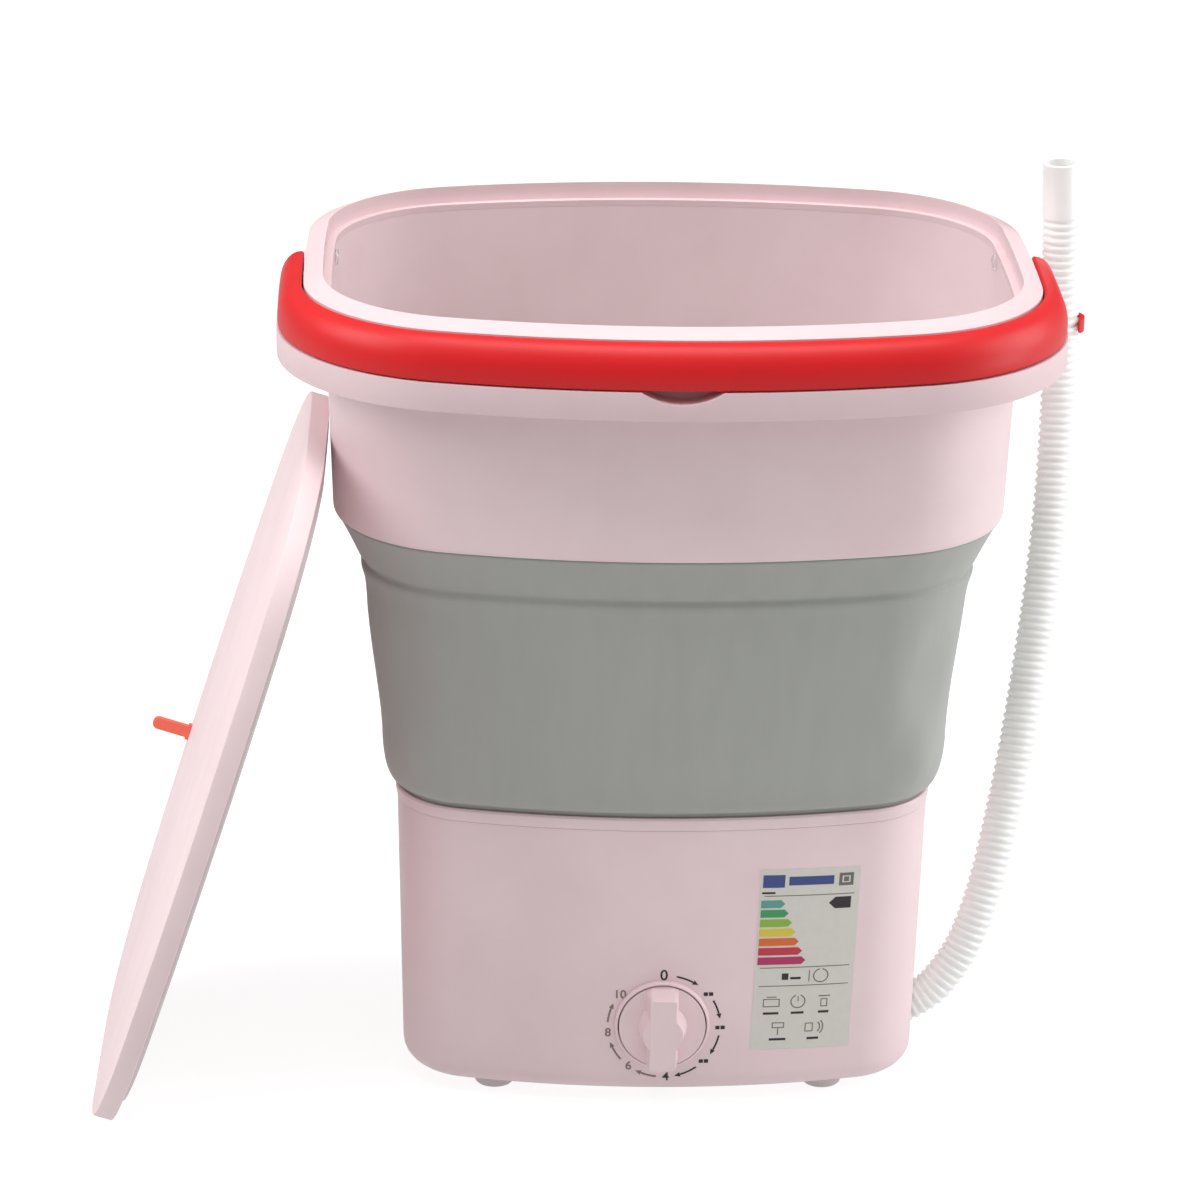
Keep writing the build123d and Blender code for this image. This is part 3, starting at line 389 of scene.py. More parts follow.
@dataclass(frozen=True)
class TubOutline:
    """The tub seen from above: eight tangent arcs, whose parallel insets are all its levels."""

    half_width: float = 195.0
    half_depth: float = 155.0
    side_radius: float = 1700.0
    front_radius: float = 505.0
    corner_radius: float = 100.0

    def corner(self) -> tuple[float, float]:
        """Returns the centre of the back right corner's arc."""
        side_x, front_y = self.half_width - self.side_radius, self.half_depth - self.front_radius
        to_side, to_front = self.side_radius - self.corner_radius, self.front_radius - self.corner_radius
        between = math.hypot(side_x, front_y)
        along = (to_side**2 - to_front**2 + between**2) / (2 * between)
        across = math.sqrt(to_side**2 - along**2)
        return (side_x - along * side_x / between - across * front_y / between,
                along * front_y / between - across * side_x / between)

    def turns(self, side: int = 6, corner: int = 26, front: int = 22) -> list[float]:
        """Angles of the outline's normal at which it is drawn, closer together where it bends.

        Args:
            side: Steps along each side.
            corner: Steps round each corner.
            front: Steps along the front and the back.

        Returns:
            The angles in degrees, once round from the right side.
        """
        corner_x, corner_y = self.corner()
        side_turn = math.degrees(math.atan2(corner_y, corner_x - self.half_width + self.side_radius))
        front_turn = math.degrees(math.atan2(corner_y - self.half_depth + self.front_radius, corner_x))
        stops = [(-side_turn, side_turn, side), (side_turn, front_turn, corner),
                 (front_turn, 180 - front_turn, front), (180 - front_turn, 180 - side_turn, corner)]
        turns = [first + (last - first) * step / count
                 for first, last, count in stops for step in range(count)]
        return turns + [turn + 180 for turn in turns]

    def point(self, turn: float, inset: float) -> tuple[float, float]:
        """Finds a point of a level.

        Args:
            turn: Direction of the outline's normal there, in degrees.
            inset: How far the level is drawn in, in millimetres.

        Returns:
            Its x and y in millimetres.
        """
        corner_x, corner_y = self.corner()
        side_x, front_y = self.half_width - self.side_radius, self.half_depth - self.front_radius
        angle = math.radians(turn)
        cos, sin = math.cos(angle), math.sin(angle)
        side_sin = corner_y / (self.side_radius - self.corner_radius)
        front_cos = corner_x / (self.front_radius - self.corner_radius)
        if abs(sin) <= side_sin + 1e-9:
            centre, radius = (side_x if cos > 0 else -side_x, 0.0), self.side_radius
        elif abs(cos) <= front_cos + 1e-9:
            centre, radius = (0.0, front_y if sin > 0 else -front_y), self.front_radius
        else:
            centre, radius = (math.copysign(corner_x, cos), math.copysign(corner_y, sin)), self.corner_radius
        return centre[0] + (radius - inset) * cos, centre[1] + (radius - inset) * sin

    def front(self, inset: float, x: float) -> float:
        """Returns y of the front wall of a level at an x, in millimetres."""
        radius = self.front_radius - inset
        return -(self.half_depth - self.front_radius + math.sqrt(radius**2 - x**2))


def box(x: float, z: float, wide: float, high: float) -> Outline:
    """Draws a rectangle about a place."""
    return [(x - wide / 2, z - high / 2), (x + wide / 2, z - high / 2), (x + wide / 2, z + high / 2),
            (x - wide / 2, z + high / 2)]


def open_box(x: float, z: float, wide: float, high: float, line: float = 0.5) -> list[Outline]:
    """Draws the outline of a rectangle about a place."""
    return [box(x, z + side * (high - line) / 2, wide, line) for side in (-1, 1)] + [
        box(x + side * (wide - line) / 2, z, line, high - 2 * line) for side in (-1, 1)]


def arc(x: float, z: float, radius: float, width: float, turns: Sequence[float]) -> Outline:
    """Draws a strip of a ring about a place, through clock angles in radians."""
    outside, inside = radius + width / 2, radius - width / 2
    return ([(x + outside * math.sin(turn), z + outside * math.cos(turn)) for turn in turns[::-1]]
            + [(x + inside * math.sin(turn), z + inside * math.cos(turn)) for turn in turns])


def round_line(x: float, z: float, radius: float, start: float, stop: float) -> Outline:
    """Draws part of a thin ring about a place, between two clock angles in degrees."""
    return arc(x, z, radius, 0.6, [math.radians(start + (stop - start) * step / 20) for step in range(21)])


def make_piece(name: str, points: Iterable[Sequence[float]], faces: Iterable[Sequence[int]],
               material: bpy.types.Material, smooth: bool = True, scale: float = MM) -> bpy.types.Object:
    """Makes a mesh piece at the origin.

    Args:
        name: The piece's name.
        points: Its points, in millimetres.
        faces: Its faces.
        material: Its finish.
        smooth: Whether its faces are shaded smooth.
        scale: Metres to a unit of the points.

    Returns:
        The object.
    """
    mesh = bpy.data.meshes.new(name)
    mesh.from_pydata([[value * scale for value in point] for point in points], [], list(faces))
    mesh.polygons.foreach_set("use_smooth", [smooth] * len(mesh.polygons))
    mesh.materials.append(material)
    mesh.update()
    piece = bpy.data.objects.new(name, mesh)
    bpy.context.scene.collection.objects.link(piece)
    return piece


def ring_faces(rings: int, around: int, closed: bool) -> list[tuple[int, int, int, int]]:
    """Quads between rings of points, facing out where rings go round to the left and climb.

    Args:
        rings: How many rings.
        around: Points in each.
        closed: Whether the last ring joins the first.

    Returns:
        The quads.
    """
    faces = []
    for ring in range(rings if closed else rings - 1):
        low, high = ring * around, (ring + 1) % rings * around
        for place in range(around):
            after = (place + 1) % around
            faces.append((low + place, low + after, high + after, high + place))
    return faces


def soften(piece: bpy.types.Object, angle: float = 32.0) -> None:
    """Joins a node's loose triangles as it is shown, and shades it smooth below an angle.

    Args:
        piece: The node's object.
        angle: Edges sharper than this stay sharp, in degrees.
    """
    piece.data.polygons.foreach_set("use_smooth", [True] * len(piece.data.polygons))
    weld = piece.modifiers.new("joined", "WELD")
    weld.merge_threshold = 0.00001
    tree = bpy.data.node_groups.get("smooth_below_angle") or smooth_tree()
    sharp = piece.modifiers.new("smooth", "NODES")
    sharp.node_group = tree
    socket = next(item for item in tree.interface.items_tree if item.name == "Angle")
    sharp[socket.identifier] = math.radians(angle)


def smooth_tree() -> bpy.types.NodeTree:
    """Builds the tree that shades faces smooth and keeps edges sharp past an angle.

    Returns:
        The tree.
    """
    tree = new_tree("smooth_below_angle", {"Angle": ("NodeSocketFloat", 0.5)})
    start, end = tree.nodes["start"], tree.nodes["end"]
    bend = add_node(tree, "GeometryNodeInputMeshEdgeAngle").outputs["Unsigned Angle"]
    past = add_node(tree, "FunctionNodeCompare", {"operation": "GREATER_THAN"},
                    {0: bend, 1: start.outputs["Angle"]})
    whole = add_node(tree, "GeometryNodeSetShadeSmooth", {"domain": "FACE"},
                     {"Geometry": start.outputs["Geometry"], "Shade Smooth": True})
    edges = add_node(tree, "GeometryNodeSetShadeSmooth", {"domain": "EDGE"},
                     {"Geometry": whole.outputs["Geometry"], "Selection": past.outputs["Result"],
                      "Shade Smooth": False})
    tree.links.new(edges.outputs["Geometry"], end.inputs["Geometry"])
    return tree


def new_tree(name: str, inputs: dict[str, tuple[str, Any]]) -> bpy.types.NodeTree:
    """Starts a tree of geometry nodes.

    Args:
        name: The tree's name.
        inputs: For each named input, its socket's type and its value.

    Returns:
        The tree, with nodes named start and end.
    """
    tree = bpy.data.node_groups.new(name, "GeometryNodeTree")
    tree.interface.new_socket("Geometry", in_out="INPUT", socket_type="NodeSocketGeometry")
    tree.interface.new_socket("Geometry", in_out="OUTPUT", socket_type="NodeSocketGeometry")
    for label, (kind, value) in inputs.items():
        socket = tree.interface.new_socket(label, in_out="INPUT", socket_type=kind)
        if value is not None:
            socket.default_value = value
    add_node(tree, "NodeGroupInput", {"name": "start"})
    add_node(tree, "NodeGroupOutput", {"name": "end"})
    return tree


def finish_tree(tree: bpy.types.NodeTree, geometry: Any, material: bpy.types.Material) -> None:
    """Ends a tree: what it makes becomes one mesh in one finish.

    Args:
        tree: The tree.
        geometry: The socket of what it makes.
        material: The finish.
    """
    real = add_node(tree, "GeometryNodeRealizeInstances", {}, {"Geometry": geometry})
    dressed = add_node(tree, "GeometryNodeSetMaterial", {}, {
        "Geometry": real.outputs[0], "Material": material})
    tree.links.new(dressed.outputs[0], tree.nodes["end"].inputs["Geometry"])


def baked(source: bpy.types.Object, tree: bpy.types.NodeTree, values: dict[str, Any], name: str,
          material: bpy.types.Material) -> bpy.types.Object:
    """Runs a tree on an object and keeps what it makes as a plain mesh.

    Args:
        source: The object that the tree starts from, which is removed.
        tree: The tree.
        values: Its inputs by name.
        name: The new piece's name.
        material: Its finish, where the tree sets none.

    Returns:
        The piece.
    """
    modifier = source.modifiers.new("made", "NODES")
    modifier.node_group = tree
    for item in tree.interface.items_tree:
        if item.item_type == "SOCKET" and item.in_out == "INPUT" and item.name in values:
            modifier[item.identifier] = values[item.name]
    bpy.context.view_layer.update()
    shown = source.evaluated_get(bpy.context.evaluated_depsgraph_get())
    mesh = bpy.data.meshes.new_from_object(shown, preserve_all_data_layers=True,
                                           depsgraph=bpy.context.evaluated_depsgraph_get())
    mesh.name = name
    if not len(mesh.materials):
        mesh.materials.append(material)
    piece = bpy.data.objects.new(name, mesh)
    bpy.context.scene.collection.objects.link(piece)
    bpy.data.objects.remove(source)
    return piece


# ---------------------------------------------------------------------------------------------
# Sub-assemblies


@dataclass
class SubAssembly:
    """Something that dresses its own nodes and makes its own pieces."""

    palette: Palette
    nodes: dict[str, bpy.types.Object]
    outline: TubOutline = field(default_factory=TubOutline)
    made: list[bpy.types.Object] = field(default_factory=list)

    def dress(self, finishes: dict[str, bpy.types.Material], angle: float = 32.0) -> None:
        """Gives nodes their finishes.

        Args:
            finishes: A material for each node's name.
            angle: Edges sharper than this stay sharp, in degrees.
        """
        for name, material in finishes.items():
            node = self.nodes[name]
            node.data.materials.clear()
            node.data.materials.append(material)
            soften(node, angle)
            LOG.info("dressed %s in %s", name, material.name)

    def keep(self, piece: bpy.types.Object, body: Body, slot: str) -> bpy.types.Object:
        """Has a new piece ride on a body, and adds it to the made list.

        Args:
            piece: The piece.
            body: The body.
            slot: Not used; it is only passed on to note.

        Returns:
            The piece.
        """
        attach(piece, body.value)
        return self.note(piece, slot)

    def note(self, piece: bpy.types.Object, slot: str) -> bpy.types.Object:
        """Adds a piece to the made list and reports it.

        Args:
            piece: The piece.
            slot: Not used.

        Returns:
            The piece.
        """
        self.made.append(piece)
        LOG.info("made %s, %d faces", piece.name, len(piece.data.polygons))
        return piece


@dataclass
class DrainHose(SubAssembly):
    """Ribbed drain hose, with a smooth end in the base and a smooth cuff at its top."""

    radius: float = 9.5
    valley: float = 8.5
    bore: float = 7.2
    pitch: float = 4.0
    smooth_start: float = 12.0
    cuff_length: float = 29.0
    length: float = 490.8
    around: int = 30              # corners of the tube
    step: float = 0.5             # between the rings of its mesh
    rib_edge: tuple[float, float] = (0.17, 0.36)
    route: tuple[Point, ...] = (
        (100.5, -36, 21.2), (134.5, -36, 29.2), (157.6, -31, 55.5), (169.8, -23.2, 87.5),
        (177.6, -12.6, 119.5), (185.4, -1.5, 156.5), (192.0, 11.4, 196), (198.3, 25.6, 236.5),
        (203.3, 39.9, 277), (206.0, 52.5, 317.5), (206.9, 60.6, 355.5), (205.3, 63.2, 391.5),
        (203.8, 62.9, 425), (202.2, 62.0, 458.2))

    def line(self) -> bpy.types.Object:
        """Returns the hose's centreline, one NURBS spline over the route."""
        curve = bpy.data.curves.new("drain_hose_line", "CURVE")
        curve.dimensions = "3D"
        spline = curve.splines.new("NURBS")
        spline.points.add(len(self.route) - 1)
        for point, place in zip(spline.points, self.route):
            point.co = [value * MM for value in place] + [1.0]
        spline.order_u = 3
        spline.use_endpoint_u = True
        curve.resolution_u = 24
        line = bpy.data.objects.new("drain_hose_line", curve)
        bpy.context.scene.collection.objects.link(line)
        return line

    def tree(self) -> bpy.types.NodeTree:
        """Builds the tree that sweeps a ribbed wall along the line, and a smooth bore inside it.

        Returns:
            The tree.
        """
        lengths = {"Radius": self.radius, "Valley": self.valley, "Bore": self.bore, "Pitch": self.pitch,
                   "Smooth start": self.smooth_start, "Cuff": self.cuff_length}
        tree = new_tree("ribbed_hose", {
            **{name: ("NodeSocketFloat", value * MM) for name, value in lengths.items()},
            "Around": ("NodeSocketInt", self.around)})
        start, end = tree.nodes["start"].outputs, tree.nodes["end"]
        fine = add_node(tree, "GeometryNodeResampleCurve", {"mode": "LENGTH"},
                        {"Curve": start["Geometry"], "Length": self.step * MM}).outputs["Curve"]
        place = add_node(tree, "GeometryNodeSplineParameter").outputs["Length"]
        whole = add_node(tree, "GeometryNodeSplineLength").outputs["Length"]
        past = sum_node(tree, "SUBTRACT", place, start["Smooth start"])
        turns = sum_node(tree, "DIVIDE", past, start["Pitch"])
        away = sum_node(tree, "ABSOLUTE", sum_node(tree, "SUBTRACT", sum_node(tree, "FRACT", turns), 0.5))
        rib = map_node(tree, away, (1.0, 0.0), self.rib_edge, interpolation_type="SMOOTHSTEP")
        smooth_low = sum_node(tree, "LESS_THAN", place, start["Smooth start"])
        smooth_high = sum_node(tree, "GREATER_THAN", place, sum_node(tree, "SUBTRACT", whole, start["Cuff"]))
        crest = sum_node(tree, "MAXIMUM", rib, sum_node(tree, "MAXIMUM", smooth_low, smooth_high))
        rise = sum_node(tree, "MULTIPLY", crest, sum_node(tree, "SUBTRACT", start["Radius"], start["Valley"]))
        joined = add_node(tree, "GeometryNodeJoinGeometry")
        circle = add_node(tree, "GeometryNodeCurvePrimitiveCircle", {}, {
            "Resolution": start["Around"], "Radius": 1.0}).outputs["Curve"]
        for radius, inside in ((sum_node(tree, "ADD", start["Valley"], rise), False), (start["Bore"], True)):
            sized = add_node(tree, "GeometryNodeSetCurveRadius", {}, {"Curve": fine, "Radius": radius})
            wall = add_node(tree, "GeometryNodeCurveToMesh", {}, {
                "Curve": sized.outputs["Curve"], "Profile Curve": circle})
            if "Scale" in wall.inputs:
                tree.links.new(add_node(tree, "GeometryNodeInputRadius").outputs[0], wall.inputs["Scale"])
            out = wall.outputs["Mesh"]
            if inside:
                out = add_node(tree, "GeometryNodeFlipFaces", {}, {"Mesh": out}).outputs["Mesh"]
            tree.links.new(out, joined.inputs[0])
        shaded = add_node(tree, "GeometryNodeSetShadeSmooth", {}, {"Geometry": joined.outputs[0]}).outputs[0]
        finish_tree(tree, shaded, self.palette.milky)
        return tree

    def close_ends(self, hose: bpy.types.Object) -> None:
        """Joins the outer wall to the bore at both ends.

        Args:
            hose: The hose's mesh.
        """
        work = bmesh.new()
        work.from_mesh(hose.data)
        open_edges = [edge for edge in work.edges if edge.is_boundary]
        top = [edge for edge in open_edges if edge.verts[0].co.z > 0.2]
        low = [edge for edge in open_edges if edge.verts[0].co.z <= 0.2]
        for edges in (top, low):
            bmesh.ops.bridge_loops(work, edges=edges)
        bmesh.ops.recalc_face_normals(work, faces=work.faces)
        work.to_mesh(hose.data)
        work.free()
        hose.data.update()

    def build(self) -> None:
        """Makes the hose in place of its solid."""
        line = self.line()
        shown = line.evaluated_get(bpy.context.evaluated_depsgraph_get())
        path_mesh = bpy.data.meshes.new_from_object(shown)
        hose = baked(line, self.tree(), {}, "ribbed_drain_hose", self.palette.milky)
        self.close_ends(hose)
        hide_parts("drain_hose")
        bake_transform(hose)
        self.note(hose, "hose_plastic")


@dataclass
class SoftWall(SubAssembly):
    """Soft grey bellows between the base and the upper wall: a rolled foot, a leaning wall, a shoulder."""

    leg_low: float = 155.6
    leg_inset: float = 60.3
    foot: float = 164.0
    foot_inset: float = 58.0
    hip: float = 190.0
    hip_inset: float = 51.4
    ridge: float = 280.0
    ridge_inset: float = 42.2
    shoulder: float = 307.0
    shoulder_inset: float = 28.9
    cuff_inset: float = 30.0
    cuff_top: float = 318.0
    wall: float = 2.4
    slack_span: tuple[float, float] = (168.0, 284.0)       # heights between which the wall gives
    slack_corners: tuple[float, float] = (228.0, 312.0)    # front corners, as turns of the outline
    slack_depth: float = 2.4

    def outer(self) -> Outline:
        """Returns the outer levels, from the foot to the shoulder, as (height, inset)."""
        levels = []
        for step in range(13):
            turn = math.radians(90 - 7.5 * step)
            levels.append((self.hip - (self.hip - self.foot) * math.sin(turn),
                           self.hip_inset + (self.foot_inset - self.hip_inset) * (1 - math.cos(turn))))
        levels += [
            (200, 50.8), (211, 49.75), (222, 48.6), (233, 47.3), (245, 45.9), (254, 44.95),
            (262, 44.3), (268, 43.6), (272, 42.9), (275, 42.0), (277, 41.35), (278.6, 41.15),
            (279.8, 41.5), (280.8, 42.2), (281.6, 42.45), (282.4, 42.2), (283.4, 41.45)]
        for step in range(3, 15):
            share = step / 14
            levels.append((self.ridge + (self.shoulder - 0.2 - self.ridge) * share,
                           self.shoulder_inset + (self.ridge_inset - self.shoulder_inset) * (1 - share) ** 0.9))
        return levels

    def profile(self) -> Outline:
        """Returns the whole closed section, up the outside and down the inside."""
        outer = self.outer()
        inner = []
        for place in range(len(outer) - 3):
            before, after = outer[max(place - 1, 0)], outer[place + 1]
            rise, lean = after[0] - before[0], after[1] - before[1]
            reach = math.hypot(rise, lean)
            moved = (outer[place][0] - self.wall * lean / reach,
                     outer[place][1] + self.wall * rise / reach)
            if (not inner or moved[0] > inner[-1][0] + 0.3) and self.foot + 2 < moved[0] < self.shoulder - 7:
                inner.append(moved)
        low = [(self.leg_low, self.leg_inset), (self.foot - 0.6, self.leg_inset),
               (self.foot - 0.2, self.foot_inset + 1)]
        cuff = [(self.shoulder, self.cuff_inset), (self.cuff_top, self.cuff_inset),
                (self.cuff_top, self.cuff_inset + self.wall), (self.shoulder - 6, self.cuff_inset + self.wall)]
        leg = [(self.foot + 1.8, self.leg_inset + self.wall), (self.leg_low, self.leg_inset + self.wall)]
        return low + outer + cuff + inner[::-1] + leg

    def slack(self, turn: float, height: float) -> float:
        """How far the soft wall gives at a place, in millimetres: a slow wave that dies out at both ends.

        Args:
            turn: Direction of the outline's normal, in degrees.
            height: Height of the place.

        Returns:
            The extra inset.
        """
        low, high = self.slack_span
        hold = max(0.0, min(1.0, (height - low) / 30)) * max(0.0, min(1.0, (high - height) / 25))
        angle = math.radians(turn)
        wave = 0.45 * math.sin(3 * angle + height / 31) + 0.3 * math.sin(7 * angle - height / 19 + 1.3)
        lobe = sum(math.exp(-((turn - corner) / 15) ** 2) for corner in self.slack_corners)
        hollow = math.exp(-((height - 228) / 20) ** 2) - 0.9 * math.exp(-((height - 190) / 15) ** 2)
        return hold * wave + self.slack_depth * lobe * hollow

    def build(self) -> None:
        """Makes the bellows in place of its solid."""
        turns = self.outline.turns(8, 34, 26)
        points = []
        for height, inset in self.profile():
            for turn in turns:
                x, y = self.outline.point(turn, inset + self.slack(turn, height))
                points.append((x, y, height))
        faces = ring_faces(len(self.profile()), len(turns), True)
        wall = make_piece("folding_wall", points, faces, self.palette.grey)
        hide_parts("bellows")
        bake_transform(wall)
        self.note(wall, "grey_bellows")


class Mark(Enum):
    """What the dial is printed with."""

    NUMBER = "number"
    DASH = "dash"
    ARC = "arc"


@dataclass
class BaseUnit(SubAssembly):
    """Pink base with the tub's floor, the timer and the motor, and what is printed on its front."""

    foot_height: float = 5.7
    wall_height: float = 147.8
    foot_inset: float = 62.9
    top_inset: float = 59.4
    dial_centre: tuple[float, float] = (1.0, 44.8)
    dial_radius: float = 28.7
    arc_width: float = 0.95
    knob_centre: tuple[float, float] = (0.0, 46.5)
    knob_radius: float = 22.0
    label_centre: tuple[float, float] = (72.3, 80.4)
    label_size: tuple[float, float] = (51.0, 101.0)
    label_turn: float = -1.7
    ink_lift: float = 0.06

    def on_wall(self, x: float, z: float, lift: float) -> Point:
        """Finds a place on the front wall.

        Args:
            x: Distance to the right of the middle.
            z: Height above the floor.
            lift: How far off the wall.

        Returns:
            The point in millimetres.
        """
        inset = self.foot_inset + (self.top_inset - self.foot_inset) * (z - self.foot_height) / self.wall_height
        return x, self.outline.front(inset, x) - lift, z

    def wrap(self, piece: bpy.types.Object, centre: tuple[float, float], turn: float, lift: float) -> None:
        """Lays a flat mesh, drawn in X and Z with its face to -Y, on the front wall.

        Args:
            piece: The mesh, in millimetres.
            centre: Where its origin goes, in x and height.
            turn: How far it is turned to the left, in degrees.
            lift: How far off the wall its back is.
        """
        cos, sin = math.cos(math.radians(turn)), math.sin(math.radians(turn))
        for vertex in piece.data.vertices:
            x, y, z = vertex.co
            vertex.co = [value * MM for value in self.on_wall(
                centre[0] + x * cos - z * sin, centre[1] + x * sin + z * cos, lift - y)]
        piece.data.update()

    def plate(self, name: str, shapes: Sequence[Outline], depth: float,
              material: bpy.types.Material, cell: float = 6.0) -> bpy.types.Object:
        """Makes thin flat shapes, cut into strips that can follow the wall.

        Args:
            name: The piece's name.
            shapes: Each shape's corners in X and Z, to the left all round as seen from the front.
            depth: How thick they are.
            material: Their finish.
            cell: The widest strip.

        Returns:
            The piece, in millimetres.
        """
        work = bmesh.new()
        for shape in shapes:
            work.faces.new([work.verts.new((x, -depth, z)) for x, z in shape])
        reach = max(abs(x) for shape in shapes for x, z in shape)
        steps = int(reach / cell)
        for step in range(-steps, steps + 1):
            bmesh.ops.bisect_plane(work, geom=work.verts[:] + work.edges[:] + work.faces[:],
                                   plane_co=(step * cell, 0, 0), plane_no=(1, 0, 0))
        bmesh.ops.triangulate(work, faces=[face for face in work.faces if len(face.verts) > 4])
        front = work.faces[:]
        rim = bmesh.ops.extrude_face_region(work, geom=front, use_keep_orig=True)
        for item in rim["geom"]:
            if isinstance(item, bmesh.types.BMVert):
                item.co.y = 0.0
        bmesh.ops.recalc_face_normals(work, faces=work.faces)
        mesh = bpy.data.meshes.new(name)
        work.to_mesh(mesh)
        work.free()
        mesh.materials.append(material)
        piece = bpy.data.objects.new(name, mesh)
        bpy.context.scene.collection.objects.link(piece)
        return piece

    def letter(self, name: str, text: str, size: float, material: bpy.types.Material) -> bpy.types.Object:
        """Makes a number as a thin mesh, its middle at the origin.

        Args:
            name: The piece's name.
            text: The number.
            size: Its height.
            material: Its finish.

        Returns:
            The piece, in millimetres.
        """
        font = bpy.data.curves.new(name, "FONT")
        font.body, font.size, font.extrude, font.offset = text, size * 1.35, self.ink_lift / 2, 0.12
        font.align_x, font.align_y = "CENTER", "CENTER"
        holder = bpy.data.objects.new(name + "_text", font)
        bpy.context.scene.collection.objects.link(holder)
        bpy.context.view_layer.update()
        mesh = bpy.data.meshes.new_from_object(holder.evaluated_get(bpy.context.evaluated_depsgraph_get()))
        bpy.data.objects.remove(holder)
        mesh.transform(Matrix.Rotation(math.radians(90), 4, "X"))
        mesh.materials.clear()
        mesh.materials.append(material)
        piece = bpy.data.objects.new(name, mesh)
        bpy.context.scene.collection.objects.link(piece)
        return piece

    def ring_shape(self, start: float, stop: float) -> Outline:
        """Draws a strip of the dial's ring between two clock angles in degrees."""
        steps = max(2, int(abs(stop - start) / 4))
        turns = [math.radians(start + (stop - start) * step / steps) for step in range(steps + 1)]
        return arc(0.0, 0.0, self.dial_radius, self.arc_width, turns)

    def arrow_shape(self, at: float) -> Outline:
        """Draws an arrow's head on the ring, pointing clockwise from a clock angle in degrees."""
        turn = math.radians(at)
        along, out = (math.cos(turn), -math.sin(turn)), (math.sin(turn), math.cos(turn))
        middle = (self.dial_radius * out[0], self.dial_radius * out[1])
        return [(middle[0] + along[0] * 3.0, middle[1] + along[1] * 3.0),
                (middle[0] + out[0] * 1.3, middle[1] + out[1] * 1.3),
                (middle[0] - out[0] * 1.3, middle[1] - out[1] * 1.3)]

    def dial(self) -> None:
        """Prints the dial: numbers round to the left, and arcs with arrows and dashes to the right."""
        black, brown = self.palette.ink, self.palette.brown_ink
        marks: list[tuple[Mark, float, float, bpy.types.Material, str]] = [
            (Mark.NUMBER, 359, 6.0, black, "0"), (Mark.ARC, 12, 30, black, ""),
            (Mark.DASH, 51, 0, black, ""), (Mark.ARC, 60, 76, black, ""),
            (Mark.DASH, 92, 0, black, ""), (Mark.ARC, 101, 118, black, ""),
            (Mark.DASH, 134, 0, black, ""), (Mark.ARC, 144, 162, black, ""),
            (Mark.NUMBER, 177, 4.8, black, "4"), (Mark.ARC, 187, 203, brown, ""),
            (Mark.NUMBER, 218, 4.8, brown, "6"), (Mark.ARC, 229, 245, brown, ""),
            (Mark.NUMBER, 262, 4.8, brown, "8"), (Mark.ARC, 274, 290, brown, ""),
            (Mark.NUMBER, 308, 4.8, brown, "10")]
        shapes: dict[str, tuple[list[Outline], bpy.types.Material]] = {
            "dial_marks_black": ([], black), "dial_marks_brown": ([], brown)}
        for mark, start, stop, ink, text in marks:
            group = shapes["dial_marks_black" if ink is black else "dial_marks_brown"][0]
            turn = math.radians(start)
            x, z = self.dial_radius * math.sin(turn), self.dial_radius * math.cos(turn)
            if mark is Mark.ARC:
                group += [self.ring_shape(start, stop), self.arrow_shape(stop + 0.2)]
            elif mark is Mark.DASH:
                group += [[(x + low, z - 1.0), (x + high, z - 1.0), (x + high, z + 1.0), (x + low, z + 1.0)]
                          for low, high in ((-2.4, -0.25), (0.25, 2.4))]
            else:
                number = self.letter(f"dial_number_{text}", text, stop, ink)
                self.wrap(number, (self.dial_centre[0] + x, self.dial_centre[1] + z), 0, self.ink_lift / 2)
                self.keep(number, Body.BASE, "dark_plastic")
        for name, (group, ink) in shapes.items():
            piece = self.plate(name, group, self.ink_lift, ink)
            self.wrap(piece, self.dial_centre, 0, 0.0)
            self.keep(piece, Body.BASE, "dark_plastic")

    def bezel(self) -> None:
        """Makes the low pink ring round the knob, and a dark ring in the gap between them: painted shade."""
        rings = {
            "dial_bezel": (self.palette.pink, "pink_plastic", [
                (0.6, None), (0.6, -96.2), (0.8, -96.5), (1.1, -96.6), (1.6, -96.3), (2.1, -95.6), (2.5, None)]),
            # The dark ring lies on the wall in the gap: painted shade where the groove falls into shadow.
            "dial_gap_painted_shade": (self.palette.dark, "dark_plastic", [
                (0.05, None), (0.05, -94.3), (0.55, -94.3), (0.55, None)])}
        steps = 96
        for name, (material, slot, section) in rings.items():
            points = []
            for out, front in section:
                reach = self.knob_radius + out
                for step in range(steps):
                    turn = math.tau * step / steps
                    x = self.knob_centre[0] + reach * math.cos(turn)
                    z = self.knob_centre[1] + reach * math.sin(turn)
                    points.append((x, self.on_wall(x, z, -0.5)[1] if front is None else front, z))
            ring = make_piece(name, points, ring_faces(len(section), steps, True), material)
            self.keep(ring, Body.BASE, slot)

